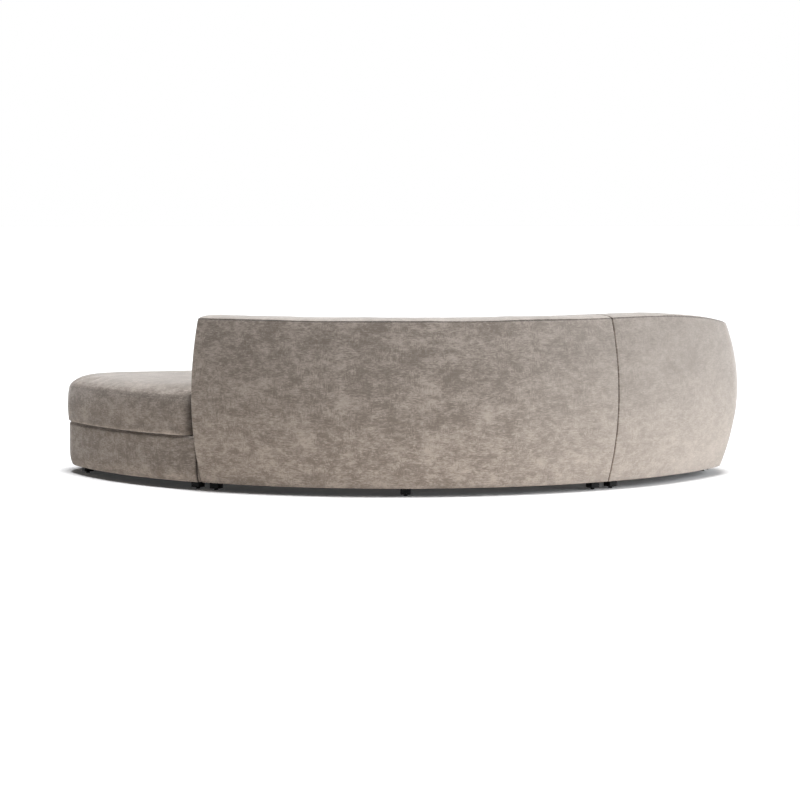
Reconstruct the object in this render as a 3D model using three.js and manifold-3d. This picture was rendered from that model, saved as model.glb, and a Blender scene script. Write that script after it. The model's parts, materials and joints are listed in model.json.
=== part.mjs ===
// A curved sofa in three modules that meet on upright joint planes through one common centre.
// The centre module has a tall barrel-shaped back. The arm end's back runs on round the corner and falls away
// into an arm. The open end has a base and a cushion only, with a rounded tip.
// Lengths are in millimetres and angles in degrees. Z is up and the floor is at Z 0.
// Plan angles are measured round the common centre from +Y, the rear, towards +X, the open end.

import * as THREE from 'three';
import { mergeVertices } from 'three/addons/utils/BufferGeometryUtils.js';
import Module from 'manifold-3d';

const wasm = await Module();
wasm.setup();

// Plan sizes
const REAR_RADIUS = 1650; // widest part of the rear face
const BACK_THICKNESS = 298; // from there to the sitter's side, at seat height
const BACK_FACE_RADIUS = REAR_RADIUS - BACK_THICKNESS;
const BASE_FRONT_RADIUS = 700; // concave front of the bases
const JOINT_ANGLE = 32.7; // joint planes, either side of the rear
const OPEN_END_ANGLE = 75; // far end of the open end's base
const ARM_END_ANGLE = 73.3; // outside of the arm
const OPEN_BASE_SETBACK = 50; // rear face of the open end's base, in from the back's widest
const JOINT_HALF_GAP = 1;
const ARM_THICKNESS = 225;
const ARM_OUTER_CORNER = 300;
const ARM_INNER_CORNER = 110;
const OPEN_REAR_CORNER = 240;
const OPEN_FRONT_CORNER = 320;
const PANEL_CORNER = 12; // upright edges where two flat sides of a base or cushion meet
const FIT_GAP = 0.3; // between pieces that rest on or against each other
const CURVED_FIT_GAP = 1.3; // between a base and the back behind it
const CUT_THROUGH = 1; // cutting solids pass this far beyond what they cut

// Heights above the floor
const FABRIC_BOTTOM = 35;
const FRAME_RECESS = 15; // frames, up from the fabric's bottom edge
const FRAME_BOTTOM = FABRIC_BOTTOM + FRAME_RECESS;
const SEAT_LINE = 226; // underside of the cushions
const BULGE_HEIGHT = 395; // where the rear face is widest
const BACK_SEAM_HEIGHT = 718;

// Back and arm
const FOOT_SETBACK = 71; // rear face at its bottom edge, in from its widest
const SEAM_SETBACK = 57; // rear face at its top seam, in from its widest
const BACK_CROWN = 17; // top panel above the seam
const BACK_LEAN = 48; // top of the sitter's side, back from its foot
const BACK_EDGE = 7; // rounded lower edge
const BACK_END_ROUNDING = 11; // upright edges at the joint planes
const ARM_FALL_START = 250; // distance past the joint plane where the top starts to fall
const ARM_FALL = 165; // from the back's top to the arm's front
const ARM_NOSE_SETBACK = 12; // arm's nose, behind the front of the base
const ARM_NOSE_ROUNDING = 52;
const REAR_WALL = 12; // padding behind the hollow where the rear face is drawn in most
const LINING_THICKNESS = 26; // sitter's side in to the hollow, at the bottom
const HOLLOW_LEAN = 40; // hollow's sitter's side, further in at its top
const TOP_PADDING = 30;
const END_PANEL = 14; // closed ends of the hollow at the joint planes
const NOSE_PADDING = 95;

// Cushions
const CUSHION_CLEARANCE = 4; // to the back and the arm
const CUSHION_BOXING_HEIGHT = 157; // underside to top seam
const CUSHION_EDGE_RISE = 38; // top seam to the end of the rounded edge
const CUSHION_OVERHANG = 10; // past the base, at the front and at the open tip
const CUSHION_BULGE = 9; // boxing at mid height, out from its two seams
const CUSHION_LOWER_EDGE = 9;
const CUSHION_TOP_ROUNDING = 52; // how far in the rounded top edge reaches
const CUSHION_CROWN = 12; // middle of the top above its rounded edge
const CUSHION_CROWN_REACH = 150;
const CUSHION_JOINT_ROUNDING = 24; // top edges against the next module

// Bases
const BASE_PAD_THICKNESS = 30;
const BASE_EDGE = 8;
const OPEN_BASE_FOOT_SETBACK = 16;
const BASE_FOOT_SETBACK = 6;
const RAIL_THICKNESS = 25;
const SEAT_DECK_THICKNESS = 25;
const WEBBING_THICKNESS = 2.4;
const WEBBING_BAND = 58;
const DUST_COVER_THICKNESS = 1;
const CROSS_RAIL_RECESS = 8;
const BLOCK_MARGIN = 25; // timber blocks, past the feet under them
const BLOCK_HEIGHT = 32;

// Back frames
const HOLLOW_CLEARANCE = 2; // beside a back's frame, in its padded cover
const FRAME_END_CLEARANCE = 5; // at a back's far end, where its sections are not square to it
const FORMER_THICKNESS = 18;
const POST_THICKNESS = 20;
const SEAT_RAIL_HEIGHT = 300;
const POST_RECESS = 4; // posts in from the edges of the formers
const CENTRE_POSTS = 5;
const ARM_POSTS = 6;

// Feet
const FOOT_SIZE = 42;
const GLIDE_RADIUS = 9;
const GLIDE_HEIGHT = 7;
const REAR_FOOT_CLEARANCE = 17; // rear feet, from the padding behind them
const FRONT_FOOT_CLEARANCE = 9; // front feet, from the padded band before them
const JOINT_FOOT_CLEARANCE = 4; // feet beside a joint, from the padded band
const END_PANEL_FOOT_CLEARANCE = 2; // centre module's rear feet, from the back's end panels
const TIP_FOOT_CLEARANCE = 23; // open end's outer feet, from the padded band
const TIP_FOOT_TURN = 6; // rear outer foot, round the corner from where its curve starts
const NOSE_FOOT_CLEARANCE = 9; // arm's front foot, from the nose padding

// Connectors at the joints
const CONNECTOR_THICKNESS = 3;
const CONNECTOR_WIDTH = 40;
const CRANK_CLEARANCE = 5; // crank of the centre module's plate, from the padded band
const CRANK_LENGTH = 12;
const ROOT_LENGTH = 36; // flat part of that plate beyond its crank
const CATCH_CLEARANCE = 3; // end module's plate, from the padded band
const CATCH_LENGTH = 70;
const PEG_INSET = 11; // peg and hole, from the near edge of the end module's plate
const HOLE_MARGIN = 13; // cranked plate beyond the middle of its hole
const PEG_RADIUS = 4.5;
const PEG_LENGTH = 12;
const PEG_CLEARANCE = 0.6;
const NOTCH_CLEARANCE = 2;
const FRONT_CONNECTOR_RECESS = 150; // from the front of the bases
const REAR_CONNECTOR_RECESS = 122; // from the sitter's side of the back

// Shapes of the curves, as shares of the sizes that they follow
const BASE_WALL_SHARES = [0.5, 1]; // up from the base's lower edge to its mid height
const BOXING_SHARES = [-0.45, 0, 0.5, 1]; // up and down from mid height to a seam
const CROWN_SLOPE_SHARES = [0.5, 1]; // in from the cushion's rounded edge
const CROWN_REACH_LIMIT_SHARE = 0.6; // the crown's slope, at most, of the cushion's front side
const LOWER_BARREL_SHARES = [0.97, 0.75, 0.5, 0.25, 0]; // down from the widest height to the bottom edge
const UPPER_BARREL_SHARES = [0.3, 0.55, 0.8, 1]; // up from the widest height to the top seam
const TOP_PANEL_SHARES = [0.04, 0.13, 0.3, 0.5, 0.7, 0.87, 0.96]; // from the rear seam to the sitter's side
const SITTER_SIDE_SHARES = [1, 0.75, 0.5, 0.25, 0]; // up from seat height to the top
const CENTRE_CROSS_RAIL_SHARES = [1 / 3, 2 / 3]; // along the front, from one end of the base to the other
const END_CROSS_RAIL_SHARES = [1 / 2];
const CUSHION_EDGE_TURNS = [25, 48, 70, 90]; // round the top edge, from upright to level
const BACK_END_TURNS = [8, 32, 60]; // round a back's end, from flat to its side
const BASE_EDGE_TURN = 45;

// Numbers of points along the curves
const ARC_POINTS = 17;
const CENTRE_STATIONS = 19;
const ARM_STATIONS = 25;
const SMALL_CORNER_POINTS = 3;
const LARGE_CORNER_POINTS = 9;
const GLIDE_SIDES = 16;

// Sizes that follow from the ones above
const openBaseRadius = REAR_RADIUS - OPEN_BASE_SETBACK;
const armNoseRadius = BASE_FRONT_RADIUS + ARM_NOSE_SETBACK;
const railTop = SEAT_LINE - FIT_GAP - SEAT_DECK_THICKNESS - FIT_GAP - WEBBING_THICKNESS - FIT_GAP;
const cushionSeamHeight = SEAT_LINE + CUSHION_BOXING_HEIGHT;
const hollowSetback = Math.max(FOOT_SETBACK, SEAM_SETBACK) + BACK_EDGE + REAR_WALL;
const footTop = FRAME_BOTTOM - FIT_GAP - DUST_COVER_THICKNESS - FIT_GAP;
const blockSize = FOOT_SIZE + 2 * BLOCK_MARGIN;
const bandFromJoint = JOINT_HALF_GAP + BASE_PAD_THICKNESS;
const crankEnd = bandFromJoint + CRANK_CLEARANCE;
const crankStart = crankEnd + CRANK_LENGTH;
const catchStart = bandFromJoint + CATCH_CLEARANCE;
const pegDistance = catchStart + PEG_INSET;
const connectorReach = pegDistance + HOLE_MARGIN;
const frontConnectorRadius = BASE_FRONT_RADIUS + FRONT_CONNECTOR_RECESS;
const rearConnectorRadius = BACK_FACE_RADIUS - REAR_CONNECTOR_RECESS;

const radians = THREE.MathUtils.degToRad;
const degrees = THREE.MathUtils.radToDeg;

// Materials
function material(color, roughness, metalness) {
  return () => new THREE.MeshStandardMaterial({ color, roughness, metalness });
}
const fabric = material('#a5998d', 0.95, 0);
const timber = material('#c49a68', 0.8, 0);
const blackPaint = material('#1c1b1a', 0.6, 0);
const nylon = material('#141414', 0.45, 0);
const webbing = material('#4a4039', 0.9, 0);
const felt = material('#d9d3c8', 1, 0);
const blackCloth = material('#232220', 1, 0);
const zincSteel = material('#a7a9ab', 0.4, 0.9);

// Plan geometry

function polar(radius, angle) {
  return new THREE.Vector2(radius * Math.sin(radians(angle)), radius * Math.cos(radians(angle)));
}

// The angle between a radial line and one parallel to it that lies a distance beside it, seen at a radius
function offsetAngle(distance, radius) {
  return degrees(Math.asin(distance / radius));
}

function arc(centre, radius, from, to, count) {
  const points = [];
  for (let i = 0; i < count; i += 1) {
    const angle = from + ((to - from) * i) / (count - 1);
    points.push(polar(radius, angle).add(centre));
  }
  return points;
}

// The plan outline of a pad between two arcs round the common centre and two straight ends, with rounded corners.
// The face inset moves the arcs and a padded end inwards, and the joint inset moves the sides at joint planes.
function outline(plan, faceInset, jointInset) {
  const outer = plan.outer - faceInset;
  const inner = plan.inner + faceInset;
  const startShift = plan.startShift + jointInset;
  const endShift = plan.endShift + (plan.endIsFace ? faceInset : jointInset);
  const corner = (size) => Math.max(size - faceInset, PANEL_CORNER - BASE_EDGE);
  const small = Math.max(PANEL_CORNER - jointInset, PANEL_CORNER - BASE_EDGE);
  const outerEnd = plan.outerCorner ? corner(plan.outerCorner) : small;
  const innerEnd = plan.innerCorner ? corner(plan.innerCorner) : small;
  const outerEndPoints = plan.outerCorner ? LARGE_CORNER_POINTS : SMALL_CORNER_POINTS;
  const innerEndPoints = plan.innerCorner ? LARGE_CORNER_POINTS : SMALL_CORNER_POINTS;

  const origin = new THREE.Vector2();
  const startOuterAngle = plan.start + offsetAngle(startShift + small, outer - small);
  const endOuterAngle = plan.end - offsetAngle(endShift + outerEnd, outer - outerEnd);
  const endInnerAngle = plan.end - offsetAngle(endShift + innerEnd, inner + innerEnd);
  const startInnerAngle = plan.start + offsetAngle(startShift + small, inner + small);
  const outward = 90;
  const behind = 180;
  const corners = {
    outerEnd: arc(polar(outer - outerEnd, endOuterAngle), outerEnd, endOuterAngle, plan.end + outward,
      outerEndPoints),
    innerEnd: arc(polar(inner + innerEnd, endInnerAngle), innerEnd, plan.end + outward, endInnerAngle + behind,
      innerEndPoints),
    innerStart: arc(polar(inner + small, startInnerAngle), small, startInnerAngle + behind,
      plan.start + behind + outward, SMALL_CORNER_POINTS),
    outerStart: arc(polar(outer - small, startOuterAngle), small, plan.start - outward, startOuterAngle,
      SMALL_CORNER_POINTS),
  };
  return [
    ...arc(origin, outer, startOuterAngle, endOuterAngle, ARC_POINTS).slice(1, -1),
    ...corners.outerEnd,
    ...corners.innerEnd,
    ...arc(origin, inner, endInnerAngle, startInnerAngle, ARC_POINTS).slice(1, -1),
    ...corners.innerStart,
    ...corners.outerStart,
  ];
}

// Surfaces and solids

// Joins closed loops of points, all of one length, into a solid. With a project function the first and last loops
// are closed by flat caps; with none the last loop joins the first, which makes a ring.
function skin(loops, project) {
  const count = loops[0].length;
  const indices = [];
  const spans = project ? loops.length - 1 : loops.length;
  for (let i = 0; i < spans; i += 1) {
    const here = i * count;
    const next = ((i + 1) % loops.length) * count;
    for (let j = 0; j < count; j += 1) {
      const k = (j + 1) % count;
      indices.push(here + j, here + k, next + k);
      indices.push(here + j, next + k, next + j);
    }
  }
  if (project) {
    indices.push(...cap(loops[0].map(project), 0, false));
    indices.push(...cap(loops.at(-1).map(project), spans * count, true));
  }
  const geometry = new THREE.BufferGeometry();
  geometry.setAttribute('position', new THREE.Float32BufferAttribute(loops.flat().flatMap((p) => p.toArray()), 3));
  geometry.setIndex(indices);
  return outwards(geometry);
}

// The triangles of a flat cap, going round the same way as its loop or the other way
function cap(contour, first, sameWay) {
  const along = THREE.ShapeUtils.area(contour) > 0;
  const indices = [];
  for (const [a, b, c] of THREE.ShapeUtils.triangulateShape(contour, [])) {
    const turning = THREE.ShapeUtils.area([contour[a], contour[b], contour[c]]) > 0;
    const order = (turning === along) === sameWay ? [a, b, c] : [c, b, a];
    indices.push(...order.map((index) => first + index));
  }
  return indices;
}

function flip(geometry) {
  const index = geometry.getIndex().array;
  for (let i = 0; i < index.length; i += 3) {
    [index[i], index[i + 2]] = [index[i + 2], index[i]];
  }
  return geometry;
}

// Turns a closed surface right side out, judged by the volume that it encloses
function outwards(geometry) {
  const position = geometry.getAttribute('position');
  const index = geometry.getIndex().array;
  const corner = (i) => new THREE.Vector3().fromBufferAttribute(position, index[i]);
  let volume = 0;
  for (let i = 0; i < index.length; i += 3) {
    volume += corner(i).dot(corner(i + 1).cross(corner(i + 2)));
  }
  return volume < 0 ? flip(geometry) : geometry;
}

const fromAbove = (point) => new THREE.Vector2(point.x, point.y);

function atHeight(points, z) {
  return points.map((point) => new THREE.Vector3(point.x, point.y, z));
}

// A solid with upright sides on a plan outline
function slab(points, bottom, top) {
  return skin([atHeight(points, bottom), atHeight(points, top)], fromAbove);
}

// A box that lies along a radial line, its middle at a plan position
function radialBox(middle, angle, width, length, bottom, top) {
  const geometry = new THREE.BoxGeometry(width, length, top - bottom);
  geometry.rotateZ(-radians(angle));
  geometry.translate(middle.x, middle.y, (bottom + top) / 2);
  return geometry;
}

function toManifold(geometry) {
  const plain = geometry.clone();
  plain.deleteAttribute('normal');
  plain.deleteAttribute('uv');
  const merged = mergeVertices(plain);
  return new wasm.Manifold(new wasm.Mesh({
    numProp: 3,
    vertProperties: new Float32Array(merged.getAttribute('position').array),
    triVerts: new Uint32Array(merged.getIndex().array),
  }));
}

function fromManifold(solid) {
  const result = solid.getMesh();
  const geometry = new THREE.BufferGeometry();
  geometry.setAttribute('position', new THREE.BufferAttribute(result.vertProperties, 3));
  geometry.setIndex(new THREE.BufferAttribute(result.triVerts, 1));
  return geometry;
}

function union(geometries) {
  return fromManifold(geometries.map(toManifold).reduce((sum, next) => sum.add(next)));
}

function subtract(geometry, cutters) {
  const solid = toManifold(geometry);
  return fromManifold(cutters.map(toManifold).reduce((rest, cutter) => rest.subtract(cutter), solid));
}

function mirrored(geometry) {
  const copy = geometry.clone().scale(-1, 1, 1);
  if (!copy.getIndex()) {
    copy.setIndex([...Array(copy.getAttribute('position').count).keys()]);
  }
  return flip(copy);
}

// Plans of the three modules

const centrePlan = {
  start: -JOINT_ANGLE,
  end: JOINT_ANGLE,
  startShift: JOINT_HALF_GAP,
  endShift: JOINT_HALF_GAP,
  outer: BACK_FACE_RADIUS - CURVED_FIT_GAP,
  inner: BASE_FRONT_RADIUS,
};
const openPlan = {
  start: JOINT_ANGLE,
  end: OPEN_END_ANGLE,
  startShift: JOINT_HALF_GAP,
  endShift: 0,
  endIsFace: true,
  openTip: true,
  outer: openBaseRadius,
  inner: BASE_FRONT_RADIUS,
  outerCorner: OPEN_REAR_CORNER,
  innerCorner: OPEN_FRONT_CORNER,
};
const armPlan = {
  start: JOINT_ANGLE,
  end: ARM_END_ANGLE,
  startShift: JOINT_HALF_GAP,
  endShift: ARM_THICKNESS + CURVED_FIT_GAP,
  endIsFace: true,
  outer: BACK_FACE_RADIUS - CURVED_FIT_GAP,
  inner: BASE_FRONT_RADIUS,
  outerCorner: ARM_INNER_CORNER - CURVED_FIT_GAP,
};

// The cushion's plan: clear of a back or an arm, and past the base wherever the base's side is free
function cushionPlan(plan) {
  const overhang = { ...plan, inner: plan.inner - CUSHION_OVERHANG };
  if (plan.openTip) {
    return {
      ...overhang,
      outer: plan.outer + CUSHION_OVERHANG,
      endShift: plan.endShift - CUSHION_OVERHANG,
      outerCorner: plan.outerCorner + CUSHION_OVERHANG,
      innerCorner: plan.innerCorner + CUSHION_OVERHANG,
    };
  }
  return {
    ...overhang,
    outer: plan.outer - CUSHION_CLEARANCE,
    endShift: plan.outerCorner ? plan.endShift + CUSHION_CLEARANCE : plan.endShift,
    outerCorner: plan.outerCorner ? plan.outerCorner - CUSHION_CLEARANCE : undefined,
  };
}

// Base pieces

// The padded band round a base, with rounded upper and lower edges and its foot drawn in
function basePad(plan, footSetback, notches) {
  const bottom = FABRIC_BOTTOM;
  const top = SEAT_LINE - FIT_GAP;
  const halfHeight = (top - bottom) / 2;
  const turned = BASE_EDGE * (1 - Math.cos(radians(BASE_EDGE_TURN)));
  const innerWall = outline(plan, BASE_PAD_THICKNESS, BASE_PAD_THICKNESS);
  const loops = [
    atHeight(outline(plan, footSetback + BASE_EDGE, BASE_EDGE), bottom),
    atHeight(outline(plan, footSetback, 0), bottom + BASE_EDGE),
    ...BASE_WALL_SHARES.map((share) => (
      atHeight(outline(plan, footSetback * (1 - share) ** 2, 0), bottom + halfHeight * share)
    )),
    atHeight(outline(plan, 0, 0), top - BASE_EDGE),
    atHeight(outline(plan, turned, turned), top - turned),
    atHeight(outline(plan, BASE_EDGE, BASE_EDGE), top),
    atHeight(innerWall, top),
    atHeight(innerWall, bottom),
  ];
  return subtract(skin(loops), notches);
}

function innerOutline(plan, extra) {
  const inset = BASE_PAD_THICKNESS + FIT_GAP + extra;
  return outline(plan, inset, inset);
}

// Rails all round, radial cross rails, and a block over each foot
function baseFrame(plan, crossShares, feet) {
  const outside = innerOutline(plan, 0);
  const inside = innerOutline(plan, RAIL_THICKNESS);
  const rails = skin([
    atHeight(outside, FRAME_BOTTOM),
    atHeight(outside, railTop),
    atHeight(inside, railTop),
    atHeight(inside, FRAME_BOTTOM),
  ]);
  const wall = BASE_PAD_THICKNESS + FIT_GAP + RAIL_THICKNESS / 2;
  const near = plan.inner + wall;
  const far = plan.outer - wall;
  const nearStart = plan.start + offsetAngle(plan.startShift, near);
  const nearEnd = plan.end - offsetAngle(plan.endShift, near);
  const crossRails = crossShares.map((share) => {
    const angle = nearStart + (nearEnd - nearStart) * share;
    return radialBox(polar((near + far) / 2, angle), angle, RAIL_THICKNESS, far - near,
      FRAME_BOTTOM + CROSS_RAIL_RECESS, railTop - CROSS_RAIL_RECESS);
  });
  const room = toManifold(slab(innerOutline(plan, RAIL_THICKNESS / 2), FRAME_BOTTOM, railTop));
  const trimmed = blocks(feet).map((block) => fromManifold(toManifold(block).intersect(room)));
  return union([rails, ...crossRails, ...trimmed]);
}

function blocks(feet) {
  return feet.map(({ position, angle }) => (
    radialBox(position, angle, blockSize, blockSize, FRAME_BOTTOM, FRAME_BOTTOM + BLOCK_HEIGHT)
  ));
}

// Woven bands across the frame: a thin sheet with a window wherever two neighbouring pairs of bands leave one
function seatWebbing(plan, { arcBands, radialBands }) {
  const bottom = railTop + FIT_GAP;
  const top = bottom + WEBBING_THICKNESS;
  const sheet = slab(innerOutline(plan, FIT_GAP), bottom, top);
  const field = slab(innerOutline(plan, RAIL_THICKNESS), bottom - CUT_THROUGH, top + CUT_THROUGH);
  const depth = (plan.outer - plan.inner) / arcBands;
  const spread = (plan.end - plan.start) / radialBands;
  const windows = [];
  for (let i = 0; i < arcBands; i += 1) {
    for (let j = 0; j < radialBands; j += 1) {
      const sides = {
        start: plan.start + j * spread,
        end: plan.start + (j + 1) * spread,
        startShift: WEBBING_BAND / 2,
        endShift: WEBBING_BAND / 2,
        inner: plan.inner + i * depth + WEBBING_BAND / 2,
        outer: plan.inner + (i + 1) * depth - WEBBING_BAND / 2,
      };
      windows.push(slab(windowOutline(sides), bottom - CUT_THROUGH, top + CUT_THROUGH));
    }
  }
  const openings = toManifold(union(windows)).intersect(toManifold(field));
  return fromManifold(toManifold(sheet).subtract(openings));
}

// A four-sided window between two arcs, its arcs in three points each
function windowOutline({ start, end, startShift, endShift, inner, outer }) {
  const side = (radius) => [start + offsetAngle(startShift, radius), end - offsetAngle(endShift, radius)];
  const [outerFrom, outerTo] = side(outer);
  const [innerFrom, innerTo] = side(inner);
  const origin = new THREE.Vector2();
  return [
    ...arc(origin, outer, outerFrom, outerTo, SMALL_CORNER_POINTS),
    ...arc(origin, inner, innerTo, innerFrom, SMALL_CORNER_POINTS),
  ];
}

function seatDeck(plan) {
  const top = SEAT_LINE - FIT_GAP;
  return slab(innerOutline(plan, 0), top - SEAT_DECK_THICKNESS, top);
}

function dustCover(plan) {
  const top = FRAME_BOTTOM - FIT_GAP;
  return slab(innerOutline(plan, 0), top - DUST_COVER_THICKNESS, top);
}

// Cushions

// How far in the crown's slope reaches, which the narrow front of a cushion limits
function crownReach(plan) {
  const frontSide = radians(plan.end - plan.start) * plan.inner - plan.startShift - plan.endShift;
  return Math.min(CUSHION_CROWN_REACH, frontSide * CROWN_REACH_LIMIT_SHARE);
}

// A boxed cushion: boxing that swells between its two seams, a rounded top edge and a gently crowned top
function cushion(plan) {
  const bottom = SEAT_LINE;
  const halfHeight = CUSHION_BOXING_HEIGHT / 2;
  const middle = bottom + halfHeight;
  const joint = (share) => CUSHION_JOINT_ROUNDING * share;
  const loops = [
    atHeight(outline(plan, CUSHION_BULGE + CUSHION_LOWER_EDGE, CUSHION_LOWER_EDGE), bottom),
    atHeight(outline(plan, CUSHION_BULGE, 0), bottom + CUSHION_LOWER_EDGE),
  ];
  for (const heightShare of BOXING_SHARES) {
    const inset = CUSHION_BULGE * heightShare ** 2;
    loops.push(atHeight(outline(plan, inset, 0), middle + halfHeight * heightShare));
  }
  for (const turn of CUSHION_EDGE_TURNS) {
    const reach = 1 - Math.cos(radians(turn));
    const inset = CUSHION_BULGE + (CUSHION_TOP_ROUNDING - CUSHION_BULGE) * reach;
    const z = cushionSeamHeight + CUSHION_EDGE_RISE * Math.sin(radians(turn));
    loops.push(atHeight(outline(plan, inset, joint(reach)), z));
  }
  for (const slopeShare of CROWN_SLOPE_SHARES) {
    const extra = (crownReach(plan) - CUSHION_TOP_ROUNDING) * slopeShare;
    const z = cushionSeamHeight + CUSHION_EDGE_RISE + CUSHION_CROWN * Math.sin((Math.PI / 2) * slopeShare);
    loops.push(atHeight(outline(plan, CUSHION_TOP_ROUNDING + extra, CUSHION_JOINT_ROUNDING + extra), z));
  }
  return skin(loops, fromAbove);
}

// Backs

// Paths are measured in millimetres along the rear face at its widest. Each gives, for a distance, the points
// and outward normals of the rear face and of the sitter's side, and how far the top has fallen.
const jointHalfAngle = JOINT_ANGLE - offsetAngle(JOINT_HALF_GAP, (REAR_RADIUS + BACK_FACE_RADIUS) / 2);

function stationOnArcs(outerAngle, innerAngle, drop) {
  return {
    outer: polar(REAR_RADIUS, outerAngle),
    outerNormal: polar(1, outerAngle),
    inner: polar(BACK_FACE_RADIUS, innerAngle),
    innerNormal: polar(1, innerAngle),
    drop,
  };
}

const centrePath = {
  from: -radians(jointHalfAngle) * REAR_RADIUS,
  to: radians(jointHalfAngle) * REAR_RADIUS,
  at(distance) {
    const angle = degrees(distance / REAR_RADIUS);
    return stationOnArcs(angle, angle, 0);
  },
};

function makeArmPath() {
  const start = JOINT_ANGLE + offsetAngle(JOINT_HALF_GAP, (REAR_RADIUS + BACK_FACE_RADIUS) / 2);
  const outerCentreRadius = REAR_RADIUS - ARM_OUTER_CORNER;
  const innerCentreRadius = BACK_FACE_RADIUS - ARM_INNER_CORNER;
  const outerAngle = ARM_END_ANGLE - offsetAngle(ARM_OUTER_CORNER, outerCentreRadius);
  const innerAngle = ARM_END_ANGLE - offsetAngle(ARM_THICKNESS + ARM_INNER_CORNER, innerCentreRadius);
  const outerCentre = polar(outerCentreRadius, outerAngle);
  const innerCentre = polar(innerCentreRadius, innerAngle);
  const lastNormal = ARM_END_ANGLE + 90;
  const along = polar(1, ARM_END_ANGLE);
  const side = polar(1, lastNormal);
  const outerLineStart = outerCentre.dot(along);
  const innerLineStart = innerCentre.dot(along);

  const arcLength = radians(outerAngle - start) * REAR_RADIUS;
  const cornerLength = radians(lastNormal - outerAngle) * ARM_OUTER_CORNER;
  const lineLength = outerLineStart - armNoseRadius;
  const to = arcLength + cornerLength + lineLength;

  const dropAt = (distance) => {
    const share = THREE.MathUtils.clamp((distance - ARM_FALL_START) / (to - ARM_FALL_START), 0, 1);
    return (ARM_FALL * (1 - Math.cos(Math.PI * share))) / 2;
  };
  const blend = (a, b, share) => a + (b - a) * share;

  return {
    from: 0,
    to,
    cornerMiddle: arcLength + cornerLength / 2,
    at(distance) {
      const drop = dropAt(distance);
      if (distance <= arcLength) {
        const share = distance / arcLength;
        return stationOnArcs(blend(start, outerAngle, share), blend(start, innerAngle, share), drop);
      }
      if (distance <= arcLength + cornerLength) {
        const share = (distance - arcLength) / cornerLength;
        const outerNormal = polar(1, blend(outerAngle, lastNormal, share));
        const innerNormal = polar(1, blend(innerAngle, lastNormal, share));
        return {
          outer: outerCentre.clone().addScaledVector(outerNormal, ARM_OUTER_CORNER),
          outerNormal,
          inner: innerCentre.clone().addScaledVector(innerNormal, ARM_INNER_CORNER),
          innerNormal,
          drop,
        };
      }
      const share = (distance - arcLength - cornerLength) / lineLength;
      const outerAlong = blend(outerLineStart, armNoseRadius, share);
      const innerAlong = blend(innerLineStart, armNoseRadius, share);
      return {
        outer: along.clone().multiplyScalar(outerAlong),
        outerNormal: side,
        inner: along.clone().multiplyScalar(innerAlong).addScaledVector(side, -ARM_THICKNESS),
        innerNormal: side,
        drop,
      };
    },
  };
}
const armPath = makeArmPath();

// A point across the back's thickness: outerInset in from the rear face at share 0, innerInset out from the
// sitter's side at share 1
function across(station, outerInset, innerInset, share, z) {
  const outer = station.outer.clone().addScaledVector(station.outerNormal, -outerInset);
  const inner = station.inner.clone().addScaledVector(station.innerNormal, innerInset);
  const point = outer.lerp(inner, share);
  return new THREE.Vector3(point.x, point.y, z);
}

// The upright outline of a back at one station, drawn in by an inset where its end is rounded
function backSection(station, inset) {
  const top = BACK_SEAM_HEIGHT - station.drop - inset;
  const rear = (setback, z) => across(station, setback + inset, 0, 0, z);
  const front = (setback, z) => across(station, 0, setback + inset, 1, z);
  const points = [rear(FOOT_SETBACK + BACK_EDGE, FABRIC_BOTTOM)];
  for (const share of LOWER_BARREL_SHARES) {
    const z = BULGE_HEIGHT - (BULGE_HEIGHT - FABRIC_BOTTOM) * share;
    points.push(rear(FOOT_SETBACK * share ** 2, z));
  }
  for (const share of UPPER_BARREL_SHARES) {
    points.push(rear(SEAM_SETBACK * share ** 2, BULGE_HEIGHT + (top - BULGE_HEIGHT) * share));
  }
  for (const share of TOP_PANEL_SHARES) {
    const rise = BACK_CROWN * (1 - Math.abs(2 * share - 1) ** 3);
    points.push(across(station, SEAM_SETBACK + inset, BACK_LEAN + inset, share, top + rise));
  }
  for (const share of SITTER_SIDE_SHARES) {
    points.push(front(BACK_LEAN * share ** 2, SEAT_LINE + (top - SEAT_LINE) * share));
  }
  points.push(front(0, FRAME_BOTTOM));
  return points;
}

// Distances along a path, each with its inset: the two ends are rounded, and the stations between are even
function roundedStations(path, startRounding, finishRounding, middleCount) {
  const rounded = (end, direction, rounding) => BACK_END_TURNS.map((turn) => ({
    distance: end + direction * rounding * (1 - Math.cos(radians(turn))),
    inset: rounding * (1 - Math.sin(radians(turn))),
  }));
  const middle = evenly(path.from + startRounding, path.to - finishRounding, middleCount);
  return [
    ...rounded(path.from, 1, startRounding),
    ...middle.map((distance) => ({ distance, inset: 0 })),
    ...rounded(path.to, -1, finishRounding).reverse(),
  ];
}

function evenly(from, to, count) {
  return Array.from({ length: count }, (_, i) => from + ((to - from) * i) / (count - 1));
}

// An upright section flattened for its cap: the distance in plan from its first point, and the height
function fromTheSide(point, index, loop) {
  const first = fromAbove(loop[0]);
  const farthest = loop.map(fromAbove).reduce((a, b) => (b.distanceTo(first) > a.distanceTo(first) ? b : a));
  const direction = farthest.sub(first).normalize();
  return new THREE.Vector2(fromAbove(point).sub(first).dot(direction), point.z);
}

function roofOf(station) {
  return BACK_SEAM_HEIGHT - station.drop - TOP_PADDING;
}

// The four-sided section of the hollow in a back between two heights, drawn in by a gap
function hollowSection(station, bottom, top, gap) {
  const lean = (z) => LINING_THICKNESS + (HOLLOW_LEAN * (z - FABRIC_BOTTOM)) / (roofOf(station) - FABRIC_BOTTOM);
  return [
    across(station, hollowSetback + gap, 0, 0, bottom),
    across(station, hollowSetback + gap, 0, 0, top),
    across(station, 0, lean(top) + gap, 1, top),
    across(station, 0, lean(bottom) + gap, 1, bottom),
  ];
}

function sweep(path, distances, section) {
  return skin(distances.map((distance) => section(path.at(distance))), fromTheSide);
}

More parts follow.
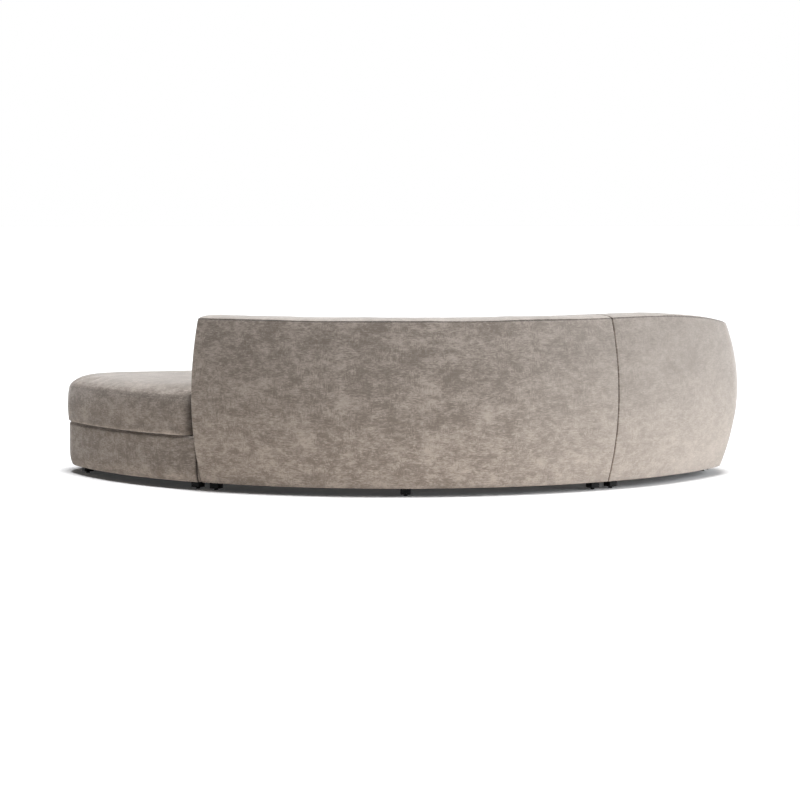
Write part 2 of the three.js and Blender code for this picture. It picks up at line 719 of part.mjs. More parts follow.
// One padded cover from the floor edge over the top to the seat, open below, with the frame's hollow inside
function backPad(path, finishRounding, finishPadding, count) {
  const stations = roundedStations(path, BACK_END_ROUNDING, finishRounding, count);
  const outside = skin(stations.map(({ distance, inset }) => backSection(path.at(distance), inset)), fromTheSide);
  const distances = evenly(path.from + END_PANEL, path.to - finishPadding, count);
  const hollow = sweep(path, distances, (station) => (
    hollowSection(station, FABRIC_BOTTOM - CUT_THROUGH, roofOf(station), 0)
  ));
  return subtract(outside, [hollow]);
}

// Three curved formers joined by upright posts
function backFrame(path, finishPadding, count, posts) {
  const from = path.from + END_PANEL + FIT_GAP;
  const to = path.to - finishPadding - FRAME_END_CLEARANCE;
  const distances = evenly(from, to, count);
  const former = (bottomOf) => sweep(path, distances, (station) => (
    hollowSection(station, bottomOf(station), bottomOf(station) + FORMER_THICKNESS, HOLLOW_CLEARANCE)
  ));
  const topFormerBottom = (station) => roofOf(station) - HOLLOW_CLEARANCE - FORMER_THICKNESS;
  const halfFormer = FORMER_THICKNESS / 2;
  const post = (start) => sweep(path, [start, start + POST_THICKNESS], (station) => hollowSection(
    station,
    FRAME_BOTTOM + halfFormer,
    topFormerBottom(station) + halfFormer,
    HOLLOW_CLEARANCE + POST_RECESS,
  ));
  const uprights = evenly(from + POST_RECESS, to - POST_THICKNESS - POST_RECESS, posts).map(post);
  return union([former(() => FRAME_BOTTOM), former(() => SEAT_RAIL_HEIGHT), former(topFormerBottom), ...uprights]);
}

function backDustCover(path, finishPadding, count) {
  const distances = evenly(
    path.from + END_PANEL + FIT_GAP,
    path.to - finishPadding - FRAME_END_CLEARANCE,
    count,
  );
  const top = FRAME_BOTTOM - FIT_GAP;
  return sweep(path, distances, (station) => (
    hollowSection(station, top - DUST_COVER_THICKNESS, top, HOLLOW_CLEARANCE)
  ));
}

// Feet: each place is a plan position and the angle that the foot's block is turned by

const halfFoot = FOOT_SIZE / 2;
const rearFootSetback = hollowSetback + REAR_FOOT_CLEARANCE + halfFoot;
const rearFootRadius = REAR_RADIUS - rearFootSetback;
const frontFootRadius = BASE_FRONT_RADIUS + BASE_PAD_THICKNESS + FRONT_FOOT_CLEARANCE + halfFoot;
const footFromJoint = bandFromJoint + JOINT_FOOT_CLEARANCE + halfFoot;
const rearFootFromJoint = JOINT_HALF_GAP + END_PANEL + END_PANEL_FOOT_CLEARANCE + halfFoot;

function placeByPath(path, distance) {
  const station = path.at(distance);
  const position = station.outer.clone().addScaledVector(station.outerNormal, -rearFootSetback);
  return { position, angle: degrees(Math.atan2(station.outerNormal.x, station.outerNormal.y)) };
}

function placeByRadius(radius, angle) {
  return { position: polar(radius, angle), angle };
}

function placeByJoint(radius, distance) {
  return placeByRadius(radius, JOINT_ANGLE + offsetAngle(distance, radius));
}

// A foot inside a rounded corner of the open end's base, in a direction from the middle of the corner's curve
function placeInCorner(middleRadius, corner, directionAt) {
  const middleAngle = OPEN_END_ANGLE - offsetAngle(corner, middleRadius);
  const reach = corner - BASE_PAD_THICKNESS - TIP_FOOT_CLEARANCE - halfFoot;
  const position = polar(middleRadius, middleAngle).addScaledVector(polar(1, directionAt(middleAngle)), reach);
  return { position, angle: degrees(Math.atan2(position.x, position.y)) };
}

function onOtherSide({ position, angle }) {
  return { position: new THREE.Vector2(-position.x, position.y), angle: -angle };
}

function footBlock({ position, angle }) {
  return radialBox(position, angle, FOOT_SIZE, FOOT_SIZE, GLIDE_HEIGHT + FIT_GAP, footTop);
}

function footGlide({ position }) {
  return upright(position, GLIDE_RADIUS, 0, GLIDE_HEIGHT);
}

function upright(position, radius, bottom, top) {
  const geometry = new THREE.CylinderGeometry(radius, radius, top - bottom, GLIDE_SIDES);
  geometry.rotateX(Math.PI / 2);
  geometry.translate(position.x, position.y, (bottom + top) / 2);
  return geometry;
}

// Connectors at the joint plane on the open end's side

const acrossJoint = polar(1, JOINT_ANGLE + 90);
const lowerPlateTop = footTop - CONNECTOR_THICKNESS - FIT_GAP;

function besideJoint(radius, distance) {
  return polar(radius, JOINT_ANGLE).addScaledVector(acrossJoint, distance);
}

// The centre module's plate, cranked down to reach under the end module's plate, with a hole for the peg
function crankedPlate(radius) {
  const profile = [
    [-crankStart - ROOT_LENGTH, footTop],
    [-crankStart, footTop],
    [-crankEnd, lowerPlateTop],
    [connectorReach, lowerPlateTop],
    [connectorReach, lowerPlateTop - CONNECTOR_THICKNESS],
    [-crankEnd, lowerPlateTop - CONNECTOR_THICKNESS],
    [-crankStart, footTop - CONNECTOR_THICKNESS],
    [-crankStart - ROOT_LENGTH, footTop - CONNECTOR_THICKNESS],
  ];
  const loops = [-CONNECTOR_WIDTH / 2, CONNECTOR_WIDTH / 2].map((offset) => profile.map(([distance, z]) => {
    const place = besideJoint(radius + offset, distance);
    return new THREE.Vector3(place.x, place.y, z);
  }));
  const hole = upright(besideJoint(radius, pegDistance), PEG_RADIUS + PEG_CLEARANCE,
    lowerPlateTop - CONNECTOR_THICKNESS - CUT_THROUGH, lowerPlateTop + CUT_THROUGH);
  return subtract(skin(loops, fromTheSide), [hole]);
}

// The end module's plate, whose peg drops into the cranked plate's hole
function pegPlate(radius) {
  const centre = besideJoint(radius, catchStart + CATCH_LENGTH / 2);
  const plate = radialBox(centre, JOINT_ANGLE, CATCH_LENGTH, CONNECTOR_WIDTH, footTop - CONNECTOR_THICKNESS,
    footTop);
  const peg = upright(besideJoint(radius, pegDistance), PEG_RADIUS, footTop - PEG_LENGTH,
    footTop - CONNECTOR_THICKNESS / 2);
  return union([plate, peg]);
}

// Openings through which the cranked plates pass, under the two bases at a joint
function jointNotches() {
  return [frontConnectorRadius, rearConnectorRadius].map((radius) => radialBox(
    polar(radius, JOINT_ANGLE),
    JOINT_ANGLE,
    2 * (bandFromJoint + CUT_THROUGH),
    CONNECTOR_WIDTH + 2 * NOTCH_CLEARANCE,
    FABRIC_BOTTOM - CUT_THROUGH,
    lowerPlateTop + NOTCH_CLEARANCE,
  ));
}

// The sofa

const group = new THREE.Group();
group.name = 'curved_sofa';

function add(name, geometry, makeMaterial) {
  const mesh = new THREE.Mesh(geometry, makeMaterial());
  mesh.name = name;
  group.add(mesh);
}

function addBase(prefix, plan, place, { footSetback, notches, crossShares, frameFeet, bands }) {
  add(`${prefix}_base_pad`, place(basePad(plan, footSetback, notches)), fabric);
  add(`${prefix}_base_frame`, place(baseFrame(plan, crossShares, frameFeet)), timber);
  add(`${prefix}_seat_webbing`, place(seatWebbing(plan, bands)), webbing);
  add(`${prefix}_seat_deck`, place(seatDeck(plan)), felt);
  add(`${prefix}_seat_cushion`, place(cushion(cushionPlan(plan))), fabric);
  add(`${prefix}_base_dust_cover`, place(dustCover(plan)), blackCloth);
}

function addBack(prefix, path, place, { rounding, padding, count, posts }) {
  add(`${prefix}_back_pad`, place(backPad(path, rounding, padding, count)), fabric);
  add(`${prefix}_back_frame`, place(backFrame(path, padding, count, posts)), timber);
  add(`${prefix}_back_dust_cover`, place(backDustCover(path, padding, count)), blackCloth);
}

function addFeet(prefix, place, feet) {
  for (const [where, foot] of Object.entries(feet)) {
    add(`${prefix}_${where}_foot`, place(footBlock(foot)), blackPaint);
    add(`${prefix}_${where}_glide`, place(footGlide(foot)), nylon);
  }
}

const asBuilt = (geometry) => geometry;

// Centre module
const centreRearFoot = placeByJoint(rearFootRadius, -rearFootFromJoint);
const centreFrontFoot = placeByJoint(frontFootRadius, -footFromJoint);
const centreFeet = {
  rear_open_side: centreRearFoot,
  rear_middle: placeByRadius(rearFootRadius, 0),
  rear_arm_side: onOtherSide(centreRearFoot),
  front_open_side: centreFrontFoot,
  front_arm_side: onOtherSide(centreFrontFoot),
};
addBase('centre', centrePlan, asBuilt, {
  footSetback: BASE_FOOT_SETBACK,
  notches: [...jointNotches(), ...jointNotches().map(mirrored)],
  crossShares: CENTRE_CROSS_RAIL_SHARES,
  frameFeet: [centreFeet.front_open_side, centreFeet.front_arm_side],
  bands: { arcBands: 3, radialBands: 5 },
});
addBack('centre', centrePath, asBuilt, {
  rounding: BACK_END_ROUNDING,
  padding: END_PANEL,
  count: CENTRE_STATIONS,
  posts: CENTRE_POSTS,
});
addFeet('centre', asBuilt, centreFeet);

// Open end
const rearOfCorner = (middleAngle) => middleAngle + TIP_FOOT_TURN;
const middleOfCorner = (middleAngle) => (OPEN_END_ANGLE + middleAngle + 90 + 180) / 2;
const openFeet = {
  rear_joint: placeByJoint(rearFootRadius, footFromJoint),
  rear_tip: placeInCorner(openBaseRadius - OPEN_REAR_CORNER, OPEN_REAR_CORNER, rearOfCorner),
  front_tip: placeInCorner(BASE_FRONT_RADIUS + OPEN_FRONT_CORNER, OPEN_FRONT_CORNER, middleOfCorner),
  front_joint: placeByJoint(frontFootRadius, footFromJoint),
};
addBase('open_end', openPlan, asBuilt, {
  footSetback: OPEN_BASE_FOOT_SETBACK,
  notches: jointNotches(),
  crossShares: END_CROSS_RAIL_SHARES,
  frameFeet: Object.values(openFeet),
  bands: { arcBands: 4, radialBands: 3 },
});
addFeet('open_end', asBuilt, openFeet);

// Arm end, built on the open end's side and mirrored
const armFeet = {
  rear_joint: placeByJoint(rearFootRadius, footFromJoint),
  rear_corner: placeByPath(armPath, armPath.cornerMiddle),
  arm_front: placeByPath(armPath, armPath.to - NOSE_PADDING - NOSE_FOOT_CLEARANCE - halfFoot),
  front_joint: placeByJoint(frontFootRadius, footFromJoint),
};
addBase('arm_end', armPlan, mirrored, {
  footSetback: BASE_FOOT_SETBACK,
  notches: jointNotches(),
  crossShares: END_CROSS_RAIL_SHARES,
  frameFeet: [armFeet.front_joint],
  bands: { arcBands: 3, radialBands: 3 },
});
addBack('arm_end', armPath, mirrored, {
  rounding: ARM_NOSE_ROUNDING,
  padding: NOSE_PADDING,
  count: ARM_STATIONS,
  posts: ARM_POSTS,
});
addFeet('arm_end', mirrored, armFeet);

// Connectors
const connectorRadii = { front: frontConnectorRadius, rear: rearConnectorRadius };
for (const [side, place] of Object.entries({ open: asBuilt, arm: mirrored })) {
  for (const [where, radius] of Object.entries(connectorRadii)) {
    add(`centre_${where}_connector_${side}_side`, place(crankedPlate(radius)), zincSteel);
    add(`${side}_end_${where}_connector`, place(pegPlate(radius)), zincSteel);
  }
}

// The part's origin is the middle of its outline, on the floor
const size = new THREE.Box3().setFromObject(group);
const middle = size.getCenter(new THREE.Vector3());
for (const mesh of group.children) {
  mesh.geometry.translate(-middle.x, -middle.y, -size.min.z);
}

export default group;
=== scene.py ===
import json
import math

import bpy
import numpy as np
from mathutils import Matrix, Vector

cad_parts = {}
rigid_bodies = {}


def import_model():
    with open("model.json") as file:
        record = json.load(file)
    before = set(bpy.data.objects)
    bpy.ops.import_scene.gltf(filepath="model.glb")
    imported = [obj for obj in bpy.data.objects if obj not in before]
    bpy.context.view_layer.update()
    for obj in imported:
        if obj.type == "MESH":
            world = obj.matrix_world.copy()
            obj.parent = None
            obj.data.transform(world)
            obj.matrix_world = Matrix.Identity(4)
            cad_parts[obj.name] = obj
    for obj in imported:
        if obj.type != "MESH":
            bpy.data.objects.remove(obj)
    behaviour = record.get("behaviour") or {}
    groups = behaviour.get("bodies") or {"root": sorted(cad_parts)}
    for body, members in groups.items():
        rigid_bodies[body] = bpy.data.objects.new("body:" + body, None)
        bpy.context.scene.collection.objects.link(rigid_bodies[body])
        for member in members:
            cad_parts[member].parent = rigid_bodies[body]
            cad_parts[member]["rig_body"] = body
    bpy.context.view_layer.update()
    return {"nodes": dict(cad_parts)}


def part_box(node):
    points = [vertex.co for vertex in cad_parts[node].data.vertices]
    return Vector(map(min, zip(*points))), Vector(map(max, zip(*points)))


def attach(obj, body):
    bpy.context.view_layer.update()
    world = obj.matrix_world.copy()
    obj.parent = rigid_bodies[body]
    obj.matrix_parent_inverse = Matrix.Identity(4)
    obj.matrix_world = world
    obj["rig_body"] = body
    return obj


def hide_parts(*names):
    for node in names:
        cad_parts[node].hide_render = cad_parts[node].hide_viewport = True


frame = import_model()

bl_info = {
    "name": "Curved sofa finish",
    "version": (1, 0, 0),
    "blender": (4, 5, 0),
    "location": "3D View > Sidebar > Curved Sofa",
    "description": "Dresses the curved modular sofa in brushed velvet over its fixed frame",
    "category": "Object",
}

CENTRE_BACK_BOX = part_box("centre_back_pad")
MODULES = ("centre", "open_end", "arm_end")
FRAMES_OF_SIMULATION = 20

# A distance in metres that counts as far from every seam
FAR = 1.0

# The stage: half the floor's width, where the lamps hang and how far the camera sees, in metres, and the
# camera's sensor in millimetres
FLOOR_HALF = 40.0
LAMP_PLACE = (0, 0, 4)
FARTHEST_SEEN = 200
SENSOR_WIDTH = 36


# Sizes and colours that a user would change


def length(label, about, default):
    """A length property in metres."""
    return bpy.props.FloatProperty(
        name=label, description=about, default=default, unit="LENGTH", precision=4
    )


def angle(label, about, default):
    """An angle property whose default is given in degrees."""
    return bpy.props.FloatProperty(
        name=label, description=about, default=math.radians(default), unit="ROTATION"
    )


def strength(label, about, default):
    """A plain number, such as a light's strength."""
    return bpy.props.FloatProperty(name=label, description=about, default=default)


def colour(label, about, default):
    """A colour property, written as sRGB values from 0 to 255 and kept as linear ones."""
    linear = [((value / 255 + 0.055) / 1.055) ** 2.4 for value in default]
    return bpy.props.FloatVectorProperty(
        name=label, description=about, default=linear, size=3, min=0, max=1, subtype="COLOR"
    )


class SofaSizes(bpy.types.PropertyGroup):
    """Sizes of the padded pieces, as in the frame that they cover."""

    rear_radius: length("Rear radius", "Widest part of the rear face, from the common centre", 1.65)
    back_thickness: length("Back thickness", "Rear face to the sitter's side, at seat height", 0.298)
    front_radius: length("Front radius", "Concave front of the bases", 0.7)
    joint_angle: angle("Joint angle", "Joint planes, either side of the rear", 32.7)
    open_end_angle: angle("Open end angle", "Far end of the open end's base", 75)
    arm_end_angle: angle("Arm end angle", "Outside of the arm", 73.3)
    open_base_setback: length("Open base setback", "Rear of the open end's base, in from the back", 0.05)
    joint_half_gap: length("Joint half gap", "Each module's side, from its joint plane", 0.001)
    arm_thickness: length("Arm thickness", "Outside of the arm to its inside", 0.225)
    arm_outer_corner: length("Arm outer corner", "Corner between the rear face and the arm", 0.3)
    arm_inner_corner: length("Arm inner corner", "Corner between the back and the arm, inside", 0.11)
    open_rear_corner: length("Open rear corner", "Rounded rear corner of the open tip", 0.24)
    open_front_corner: length("Open front corner", "Rounded front corner of the open tip", 0.32)
    panel_corner: length("Panel corner", "Upright edges where two flat sides meet", 0.012)
    fit_gap: length("Fit gap", "Between pieces that rest on each other", 0.0003)
    curved_fit_gap: length("Curved fit gap", "Between a base and the back behind it", 0.0013)
    fabric_bottom: length("Fabric bottom", "Lower edge of the covers, above the floor", 0.035)
    frame_bottom: length("Frame bottom", "Underside of the frames, above the floor", 0.05)
    seat_line: length("Seat line", "Underside of the cushions", 0.226)
    bulge_height: length("Bulge height", "Where the rear face is widest", 0.395)
    back_seam_height: length("Back seam height", "Rear seam of the top panel", 0.7245)
    foot_setback: length("Foot setback", "Rear face at its lower edge, in from its widest", 0.071)
    seam_setback: length("Seam setback", "Rear face at its top seam, in from its widest", 0.051)
    back_crown: length("Back crown", "Top panel above its seams", 0.0092)
    back_lean: length("Back lean", "Top of the sitter's side, back from its foot", 0.048)
    back_edge: length("Back edge", "Rounded lower edge of a back", 0.007)
    back_end_rounding: length("Back end rounding", "Upright edges of a back at the joints", 0.006)
    arm_fall_start: length("Arm fall start", "Past the joint, where the top starts to fall", 0.175)
    arm_fall: length("Arm fall", "From the back's top to the arm's front", 0.165)
    arm_nose_setback: length("Arm nose setback", "Arm's nose, behind the front of the base", 0.012)
    arm_nose_rounding: length("Arm nose rounding", "Rounded edge of the arm's front", 0.052)
    hollow_setback: length("Hollow setback", "Hollow of a back, in from its widest rear face", 0.09)
    lining: length("Lining", "Sitter's side in to the hollow, at the bottom", 0.026)
    hollow_lean: length("Hollow lean", "Hollow's sitter's side, further in at its top", 0.04)
    top_padding: length("Top padding", "Rear seam down to the hollow", 0.03)
    end_panel: length("End panel", "Closed ends of the hollow at the joints", 0.014)
    end_crown: length("End crown", "Middle of an end panel, out from its edges", 0.0008)
    nose_crown: length("Nose crown", "Middle of the arm's front, out from its edges", 0.006)
    nose_padding: length("Nose padding", "Nose to the hollow", 0.095)
    cushion_clearance: length("Cushion clearance", "Cushions to the back and the arm", 0.004)
    cushion_boxing: length("Cushion boxing", "Underside of a cushion to its top seam", 0.157)
    cushion_edge_rise: length("Cushion edge rise", "Top seam to the end of the rounded edge", 0.038)
    cushion_crown: length("Cushion crown", "Middle of a cushion's top above its edge", 0.016)
    cushion_overhang: length("Cushion overhang", "Past the base, at the front and the open tip", 0.01)
    cushion_bulge: length("Cushion bulge", "Boxing at mid height, out from its seams", 0.004)
    cushion_swell: length("Cushion swell", "Sides of a finished cushion, further out at mid height", 0.008)
    cushion_lower_edge: length("Cushion lower edge", "Lower seam of a cushion, above its underside", 0.015)
    cushion_upright: length("Cushion upright edge", "Upright part of the edge above the top seam", 0.008)
    cushion_crown_reach: length("Cushion crown reach", "From the rounded edge in to the level top", 0.15)
    cushion_corner: length("Cushion corner", "Upright corners of a cushion at the joints", 0.028)
    cushion_rear_corner: length("Cushion rear corner", "Open end's cushion beside the back", 0.1)
    cushion_top_rounding: length("Cushion top rounding", "How far in the rounded edge reaches", 0.066)
    cushion_joint_rounding: length("Cushion joint rounding", "Top edges at the next module", 0.024)
    base_thickness: length("Base padding", "Thickness of the padded band", 0.03)
    base_edge: length("Base edge", "Rounded lower edge of the padded band", 0.008)
    base_top_edge: length("Base top edge", "Rounded upper edge of the padded band", 0.013)
    base_corner: length("Base corner", "Upright corners of the padded band at the joints", 0.018)
    open_foot_setback: length("Open base draw-in", "Foot of the open end's base, drawn in", 0.013)
    base_foot_setback: length("Base draw-in", "Foot of the other bases, drawn in", 0.006)
    connector_front: length("Front connector", "Middle of the front connector, from the centre", 0.85)
    connector_rear: length("Rear connector", "Middle of the rear connector, from the centre", 1.23)
    notch_width: length("Notch width", "Opening for a connector under a base", 0.044)
    notch_top: length("Notch top", "Top of that opening, above the floor", 0.0471)
    seam_depth: length("Seam depth", "How far a seam draws the padding in", 0.0028)
    pucker: length("Pucker", "Height of the small folds beside a seam", 0.0005)
    wave: length("Wave", "Height of the soft unevenness of the padding", 0.0009)
    foot_size: length("Foot size", "Width of a foot's block", 0.042)


class SofaColours(bpy.types.PropertyGroup):
    """Colours of the finishes."""

    velvet_dark: colour("Velvet, dark", "Patches brushed towards the eye", (137, 127, 118))
    velvet_light: colour("Velvet, light", "Patches brushed away from the eye", (190, 179, 169))
    # Painted sheen: the pale colour that faces turned towards the lights are blended to
    velvet_painted_sheen: colour("Velvet, sheen", "Where the nap catches the light", (180, 174, 168))
    # Painted shade: the dark colour that seams, crevices and faces tilting upwards are blended to
    velvet_painted_shade: colour("Velvet seam", "Shade in the seams", (30, 25, 21))
    timber_dark: colour("Timber, dark", "Grain of the plywood", (160, 118, 76))
    timber_light: colour("Timber, light", "Ground of the plywood", (205, 166, 118))
    webbing_dark: colour("Webbing, dark", "Webbing between its ribs", (48, 40, 35))
    webbing_light: colour("Webbing, light", "Ribs of the webbing", (104, 90, 78))
    felt_dark: colour("Felt, dark", "Darker fibres of the deck", (196, 188, 175))
    felt_light: colour("Felt, light", "Lighter fibres of the deck", (226, 220, 210))
    cloth_dark: colour("Dust cover, dark", "Dust cover between its fibres", (18, 18, 18))
    cloth_light: colour("Dust cover, light", "Fibres of the dust cover", (46, 45, 44))
    block_dark: colour("Foot, dark", "Satin black of the feet", (1, 1, 1))
    block_light: colour("Foot, worn", "Rubbed places on the feet", (7, 7, 7))
    steel_dark: colour("Zinc, dark", "Dull spangles of the zinc", (140, 143, 147))
    steel_light: colour("Zinc, light", "Bright spangles of the zinc", (188, 190, 193))
    floor: colour("Floor", "Floor as the camera sees it", (255, 255, 255))
    floor_bounce: colour("Floor bounce", "Floor as it lights the sofa", (227, 221, 215))


class StageSettings(bpy.types.PropertyGroup):
    """Light and camera."""

    overhead: strength("Overhead light", "Strength from above", 3.46)
    side: strength("Side light", "Strength from the arm's side", 5.12)
    world: strength("World light", "Strength all round", 0.05)
    overhead_tilt: angle("Overhead tilt", "Overhead light, from upright towards the rear", 8.5)
    overhead_lean: angle("Overhead lean", "Overhead light, from upright towards the arm's side", 2.5)
    overhead_colour: colour("Overhead colour", "Colour of the overhead light", (252, 253, 255))
    side_colour: colour("Side colour", "Colour of the side light", (249, 252, 255))
    floor_glow: strength("Floor glow", "Least brightness of the floor", 0.033)
    side_height: angle("Side light height", "Side light above level", 7)
    side_turn: angle("Side light turn", "Side light, from the arm's side towards the rear", 8)
    overhead_width: angle("Overhead width", "Width of the overhead light as seen from the floor", 22)
    side_width: angle("Side width", "Width of the side light as seen from the floor", 62)
    lens: bpy.props.FloatProperty(name="Lens", description="Focal length", default=132.4, unit="CAMERA")
    distance: length("Camera distance", "In plan, from the common centre", 13.577)
    height: length("Camera height", "Above the floor", 1.432)
    turn: angle("Camera turn", "In plan, from the rear towards the open end", 0.85)
    pitch: angle("Camera pitch", "Down from level", 4.91)


def settings():
    """The scene's sizes, colours and stage settings."""
    scene = bpy.context.scene
    return scene.curved_sofa_sizes, scene.curved_sofa_colours, scene.curved_sofa_stage


# Points, grids and meshes


def common_centre(s):
    """The common centre of the arcs: under the middle of the centre back, one rear radius in front."""
    low, high = CENTRE_BACK_BOX
    return np.array([(low.x + high.x) / 2, high.y - s.rear_radius, 0.0])


def polar(radius, turn):
    """Plan points (r sin a, r cos a), for angles from +Y towards +X."""
    radius, turn = np.broadcast_arrays(radius, turn)
    return np.stack([radius * np.sin(turn), radius * np.cos(turn)], axis=-1)


def offset_angle(distance, radius):
    """Angle at a radius between a radial line and its parallel a distance beside it: asin(d / r)."""
    return math.asin(distance / radius)


def grid_quads(rows, columns, first=0, wrap_rows=False, wrap_columns=False):
    """Corner numbers of a grid's quads, row by row, closed round on itself where asked."""
    i = np.arange(rows if wrap_rows else rows - 1)[:, None]
    j = np.arange(columns if wrap_columns else columns - 1)[None, :]
    here, below = i * columns, ((i + 1) % rows) * columns
    right = (j + 1) % columns
    return first + np.stack([here + j, here + right, below + right, below + j], axis=-1).reshape(-1, 4)


def enclosed_volume(points, faces):
    """Volume that faces enclose: a sixth of the sum of a . (b x c) over fans of triangles."""
    total = 0.0
    by_size = {}
    for face in faces:
        by_size.setdefault(len(face), []).append(face)
    for size, group in by_size.items():
        corners = points[np.array(group)]
        for k in range(1, size - 1):
            total += np.einsum("ij,ij->", corners[:, 0], np.cross(corners[:, k], corners[:, k + 1]))
    return total / 6


def make_piece(name, points, faces, material, smooth=True):
    """A mesh object of these points and faces, turned right side out."""
    if enclosed_volume(points, faces) < 0:
        faces = [face[::-1] for face in faces]
    mesh = bpy.data.meshes.new(name)
    mesh.from_pydata(points, [], faces)
    mesh.polygons.foreach_set("use_smooth", np.full(len(mesh.polygons), smooth))
    mesh.materials.append(material)
    mesh.update()
    piece = bpy.data.objects.new(name, mesh)
    bpy.context.scene.collection.objects.link(piece)
    return piece


def vectors_of(mesh, kind):
    """A mesh's points (co) or their normals (normal) as an array."""
    flat = np.empty(len(mesh.vertices) * 3, np.float32)
    mesh.vertices.foreach_get(kind, flat)
    return flat.reshape(-1, 3).astype(float)


def points_of(mesh):
    """A mesh's points as an array."""
    return vectors_of(mesh, "co")


def set_points(mesh, points):
    """Puts an array of points back into a mesh."""
    mesh.vertices.foreach_set("co", points.astype(np.float32).ravel())
    mesh.update()


def keep_seam_distances(mesh, distances):
    """Keeps each point's signed distances to its three nearest kinds of seam or crevice, for the velvet's
    painted shade lines and seam grooves to read.
    """
    attribute = mesh.attributes.new("seam_and_crevice_distance", "FLOAT_VECTOR", "POINT")
    attribute.data.foreach_set("vector", distances.astype(np.float32).ravel())


def flip(mirror):
    """Factors that turn points over to the arm's side where asked, and back again."""
    return np.array([-1.0 if mirror else 1.0, 1.0, 1.0])


def in_frame(points, s, mirror):
    """Moves points from the common centre into the frame, turned over where asked."""
    return points * flip(mirror) + common_centre(s)


def from_frame(points, s, mirror):
    """Moves points from the frame to the common centre, turned over where asked."""
    return (points - common_centre(s)) * flip(mirror)


def lofted(rings):
    """Points and faces of rings of equal length, closed by flat ends."""
    columns = len(rings[0])
    points = np.concatenate(rings)
    faces = grid_quads(len(rings), columns, wrap_columns=True).tolist()
    faces.append(list(range(columns))[::-1])
    faces.append([len(points) - columns + k for k in range(columns)])
    return points, faces


def clustered(start, stop, count, power=2.0):
    """Values from start to stop that crowd towards stop: 1 - (1 - x) ^ power of the way."""
    x = np.linspace(0, 1, count)
    return start + (stop - start) * (1 - (1 - x) ** power)


# Unevenness of the padding: its wavelengths in metres, and the power by which height grows with them
WAVE_LENGTHS = np.geomspace(0.6, 0.1, 8)
WAVE_GROWTH = 0.8


def soft_waves(u, v, seed):
    """Unevenness of padding: a sum of eight sine waves in fixed directions, 0.1 to 0.6 m long."""
    dice = np.random.default_rng(seed)
    total = np.zeros(np.broadcast(u, v).shape)
    for wavelength in WAVE_LENGTHS:
        direction, phase = dice.uniform(0, 2 * math.pi, 2)
        along = u * math.cos(direction) + v * math.sin(direction)
        total += wavelength**WAVE_GROWTH * np.sin(2 * math.pi * along / wavelength + phase)
    return total


# Small folds beside a seam, in metres: their length, their reach, and (turn, length) of their wander
PUCKER_LENGTH = 0.022
PUCKER_REACH = 0.010
PUCKER_WANDERS = ((2.2, 0.173), (1.3, 0.071))


def puckers(u, distance):
    """Small folds beside a seam: sine waves about 22 mm long that die away 10 mm from it."""
    wander = sum(turn * np.sin(2 * math.pi * u / span) for turn, span in PUCKER_WANDERS)
    folds = np.sin(2 * math.pi * u / PUCKER_LENGTH + wander)
    return folds * np.exp(-np.abs(distance) / PUCKER_REACH)


# A seam's groove and the dip round it: widths in metres, and shares of the depth
GROOVE_WIDTH = 0.0022
DIP_WIDTH = 0.011
GROOVE_SHARE = 0.7
DIP_SHARE = 0.3


def seam_draw(distance):
    """How far a seam draws the surface in: a narrow groove in a wide shallow dip, 1 at the seam."""
    groove = GROOVE_SHARE * np.exp(-((distance / GROOVE_WIDTH) ** 2))
    return groove + DIP_SHARE * np.exp(-((distance / DIP_WIDTH) ** 2))


def normals_of(grid, wrap_rows=False, wrap_columns=False):
    """Unit normals of a grid of points: the cross product of its slopes along rows and columns."""

    def slope(axis, wrap):
        """Differences between the neighbours on either side."""
        if wrap:
            return np.roll(grid, -1, axis) - np.roll(grid, 1, axis)
        return np.gradient(grid, axis=axis)

    across = np.cross(slope(0, wrap_rows), slope(1, wrap_columns))
    size = np.linalg.norm(across, axis=-1, keepdims=True)
    least_size = 1e-12
    return across / np.maximum(size, least_size)


# Plans of the bases and cushions


def base_plans(s):
    """The three plans: two arcs round the common centre and two straight ends, as in the frame."""
    back_face = s.rear_radius - s.back_thickness - s.curved_fit_gap
    centre = {
        "start": -s.joint_angle,
        "end": s.joint_angle,
        "start_shift": s.joint_half_gap,
        "end_shift": s.joint_half_gap,
        "outer": back_face,
        "inner": s.front_radius,
        "end_is_face": False,
        "open_tip": False,
        "outer_corner": 0.0,
        "inner_corner": 0.0,
        "joint_corner": s.base_corner,
        "rear_joint_corner": s.base_corner,
    }
    end = {**centre, "start": s.joint_angle, "end_is_face": True}
    open_end = {
        **end,
        "end": s.open_end_angle,
        "end_shift": 0.0,
        "outer": s.rear_radius - s.open_base_setback,
        "open_tip": True,
        "outer_corner": s.open_rear_corner,
        "inner_corner": s.open_front_corner,
    }
    arm_end = {
        **end,
        "end": s.arm_end_angle,
        "end_shift": s.arm_thickness + s.curved_fit_gap,
        "outer_corner": s.arm_inner_corner - s.curved_fit_gap,
    }
    return {"centre": centre, "open_end": open_end, "arm_end": arm_end}


def cushion_plan(plan, s):
    """The cushion's plan: clear of a back or an arm, and past the base wherever the base's side is free."""
    changed = {
        **plan,
        "inner": plan["inner"] - s.cushion_overhang,
        "joint_corner": s.cushion_corner,
        "rear_joint_corner": s.cushion_rear_corner if plan["open_tip"] else s.cushion_corner,
    }
    if plan["open_tip"]:
        for side in ("outer", "outer_corner", "inner_corner"):
            changed[side] = plan[side] + s.cushion_overhang
        changed["end_shift"] = plan["end_shift"] - s.cushion_overhang
        return changed
    changed["outer"] = plan["outer"] - s.cushion_clearance
    if plan["outer_corner"]:
        changed["outer_corner"] = plan["outer_corner"] - s.cushion_clearance
        changed["end_shift"] = plan["end_shift"] + s.cushion_clearance
    return changed


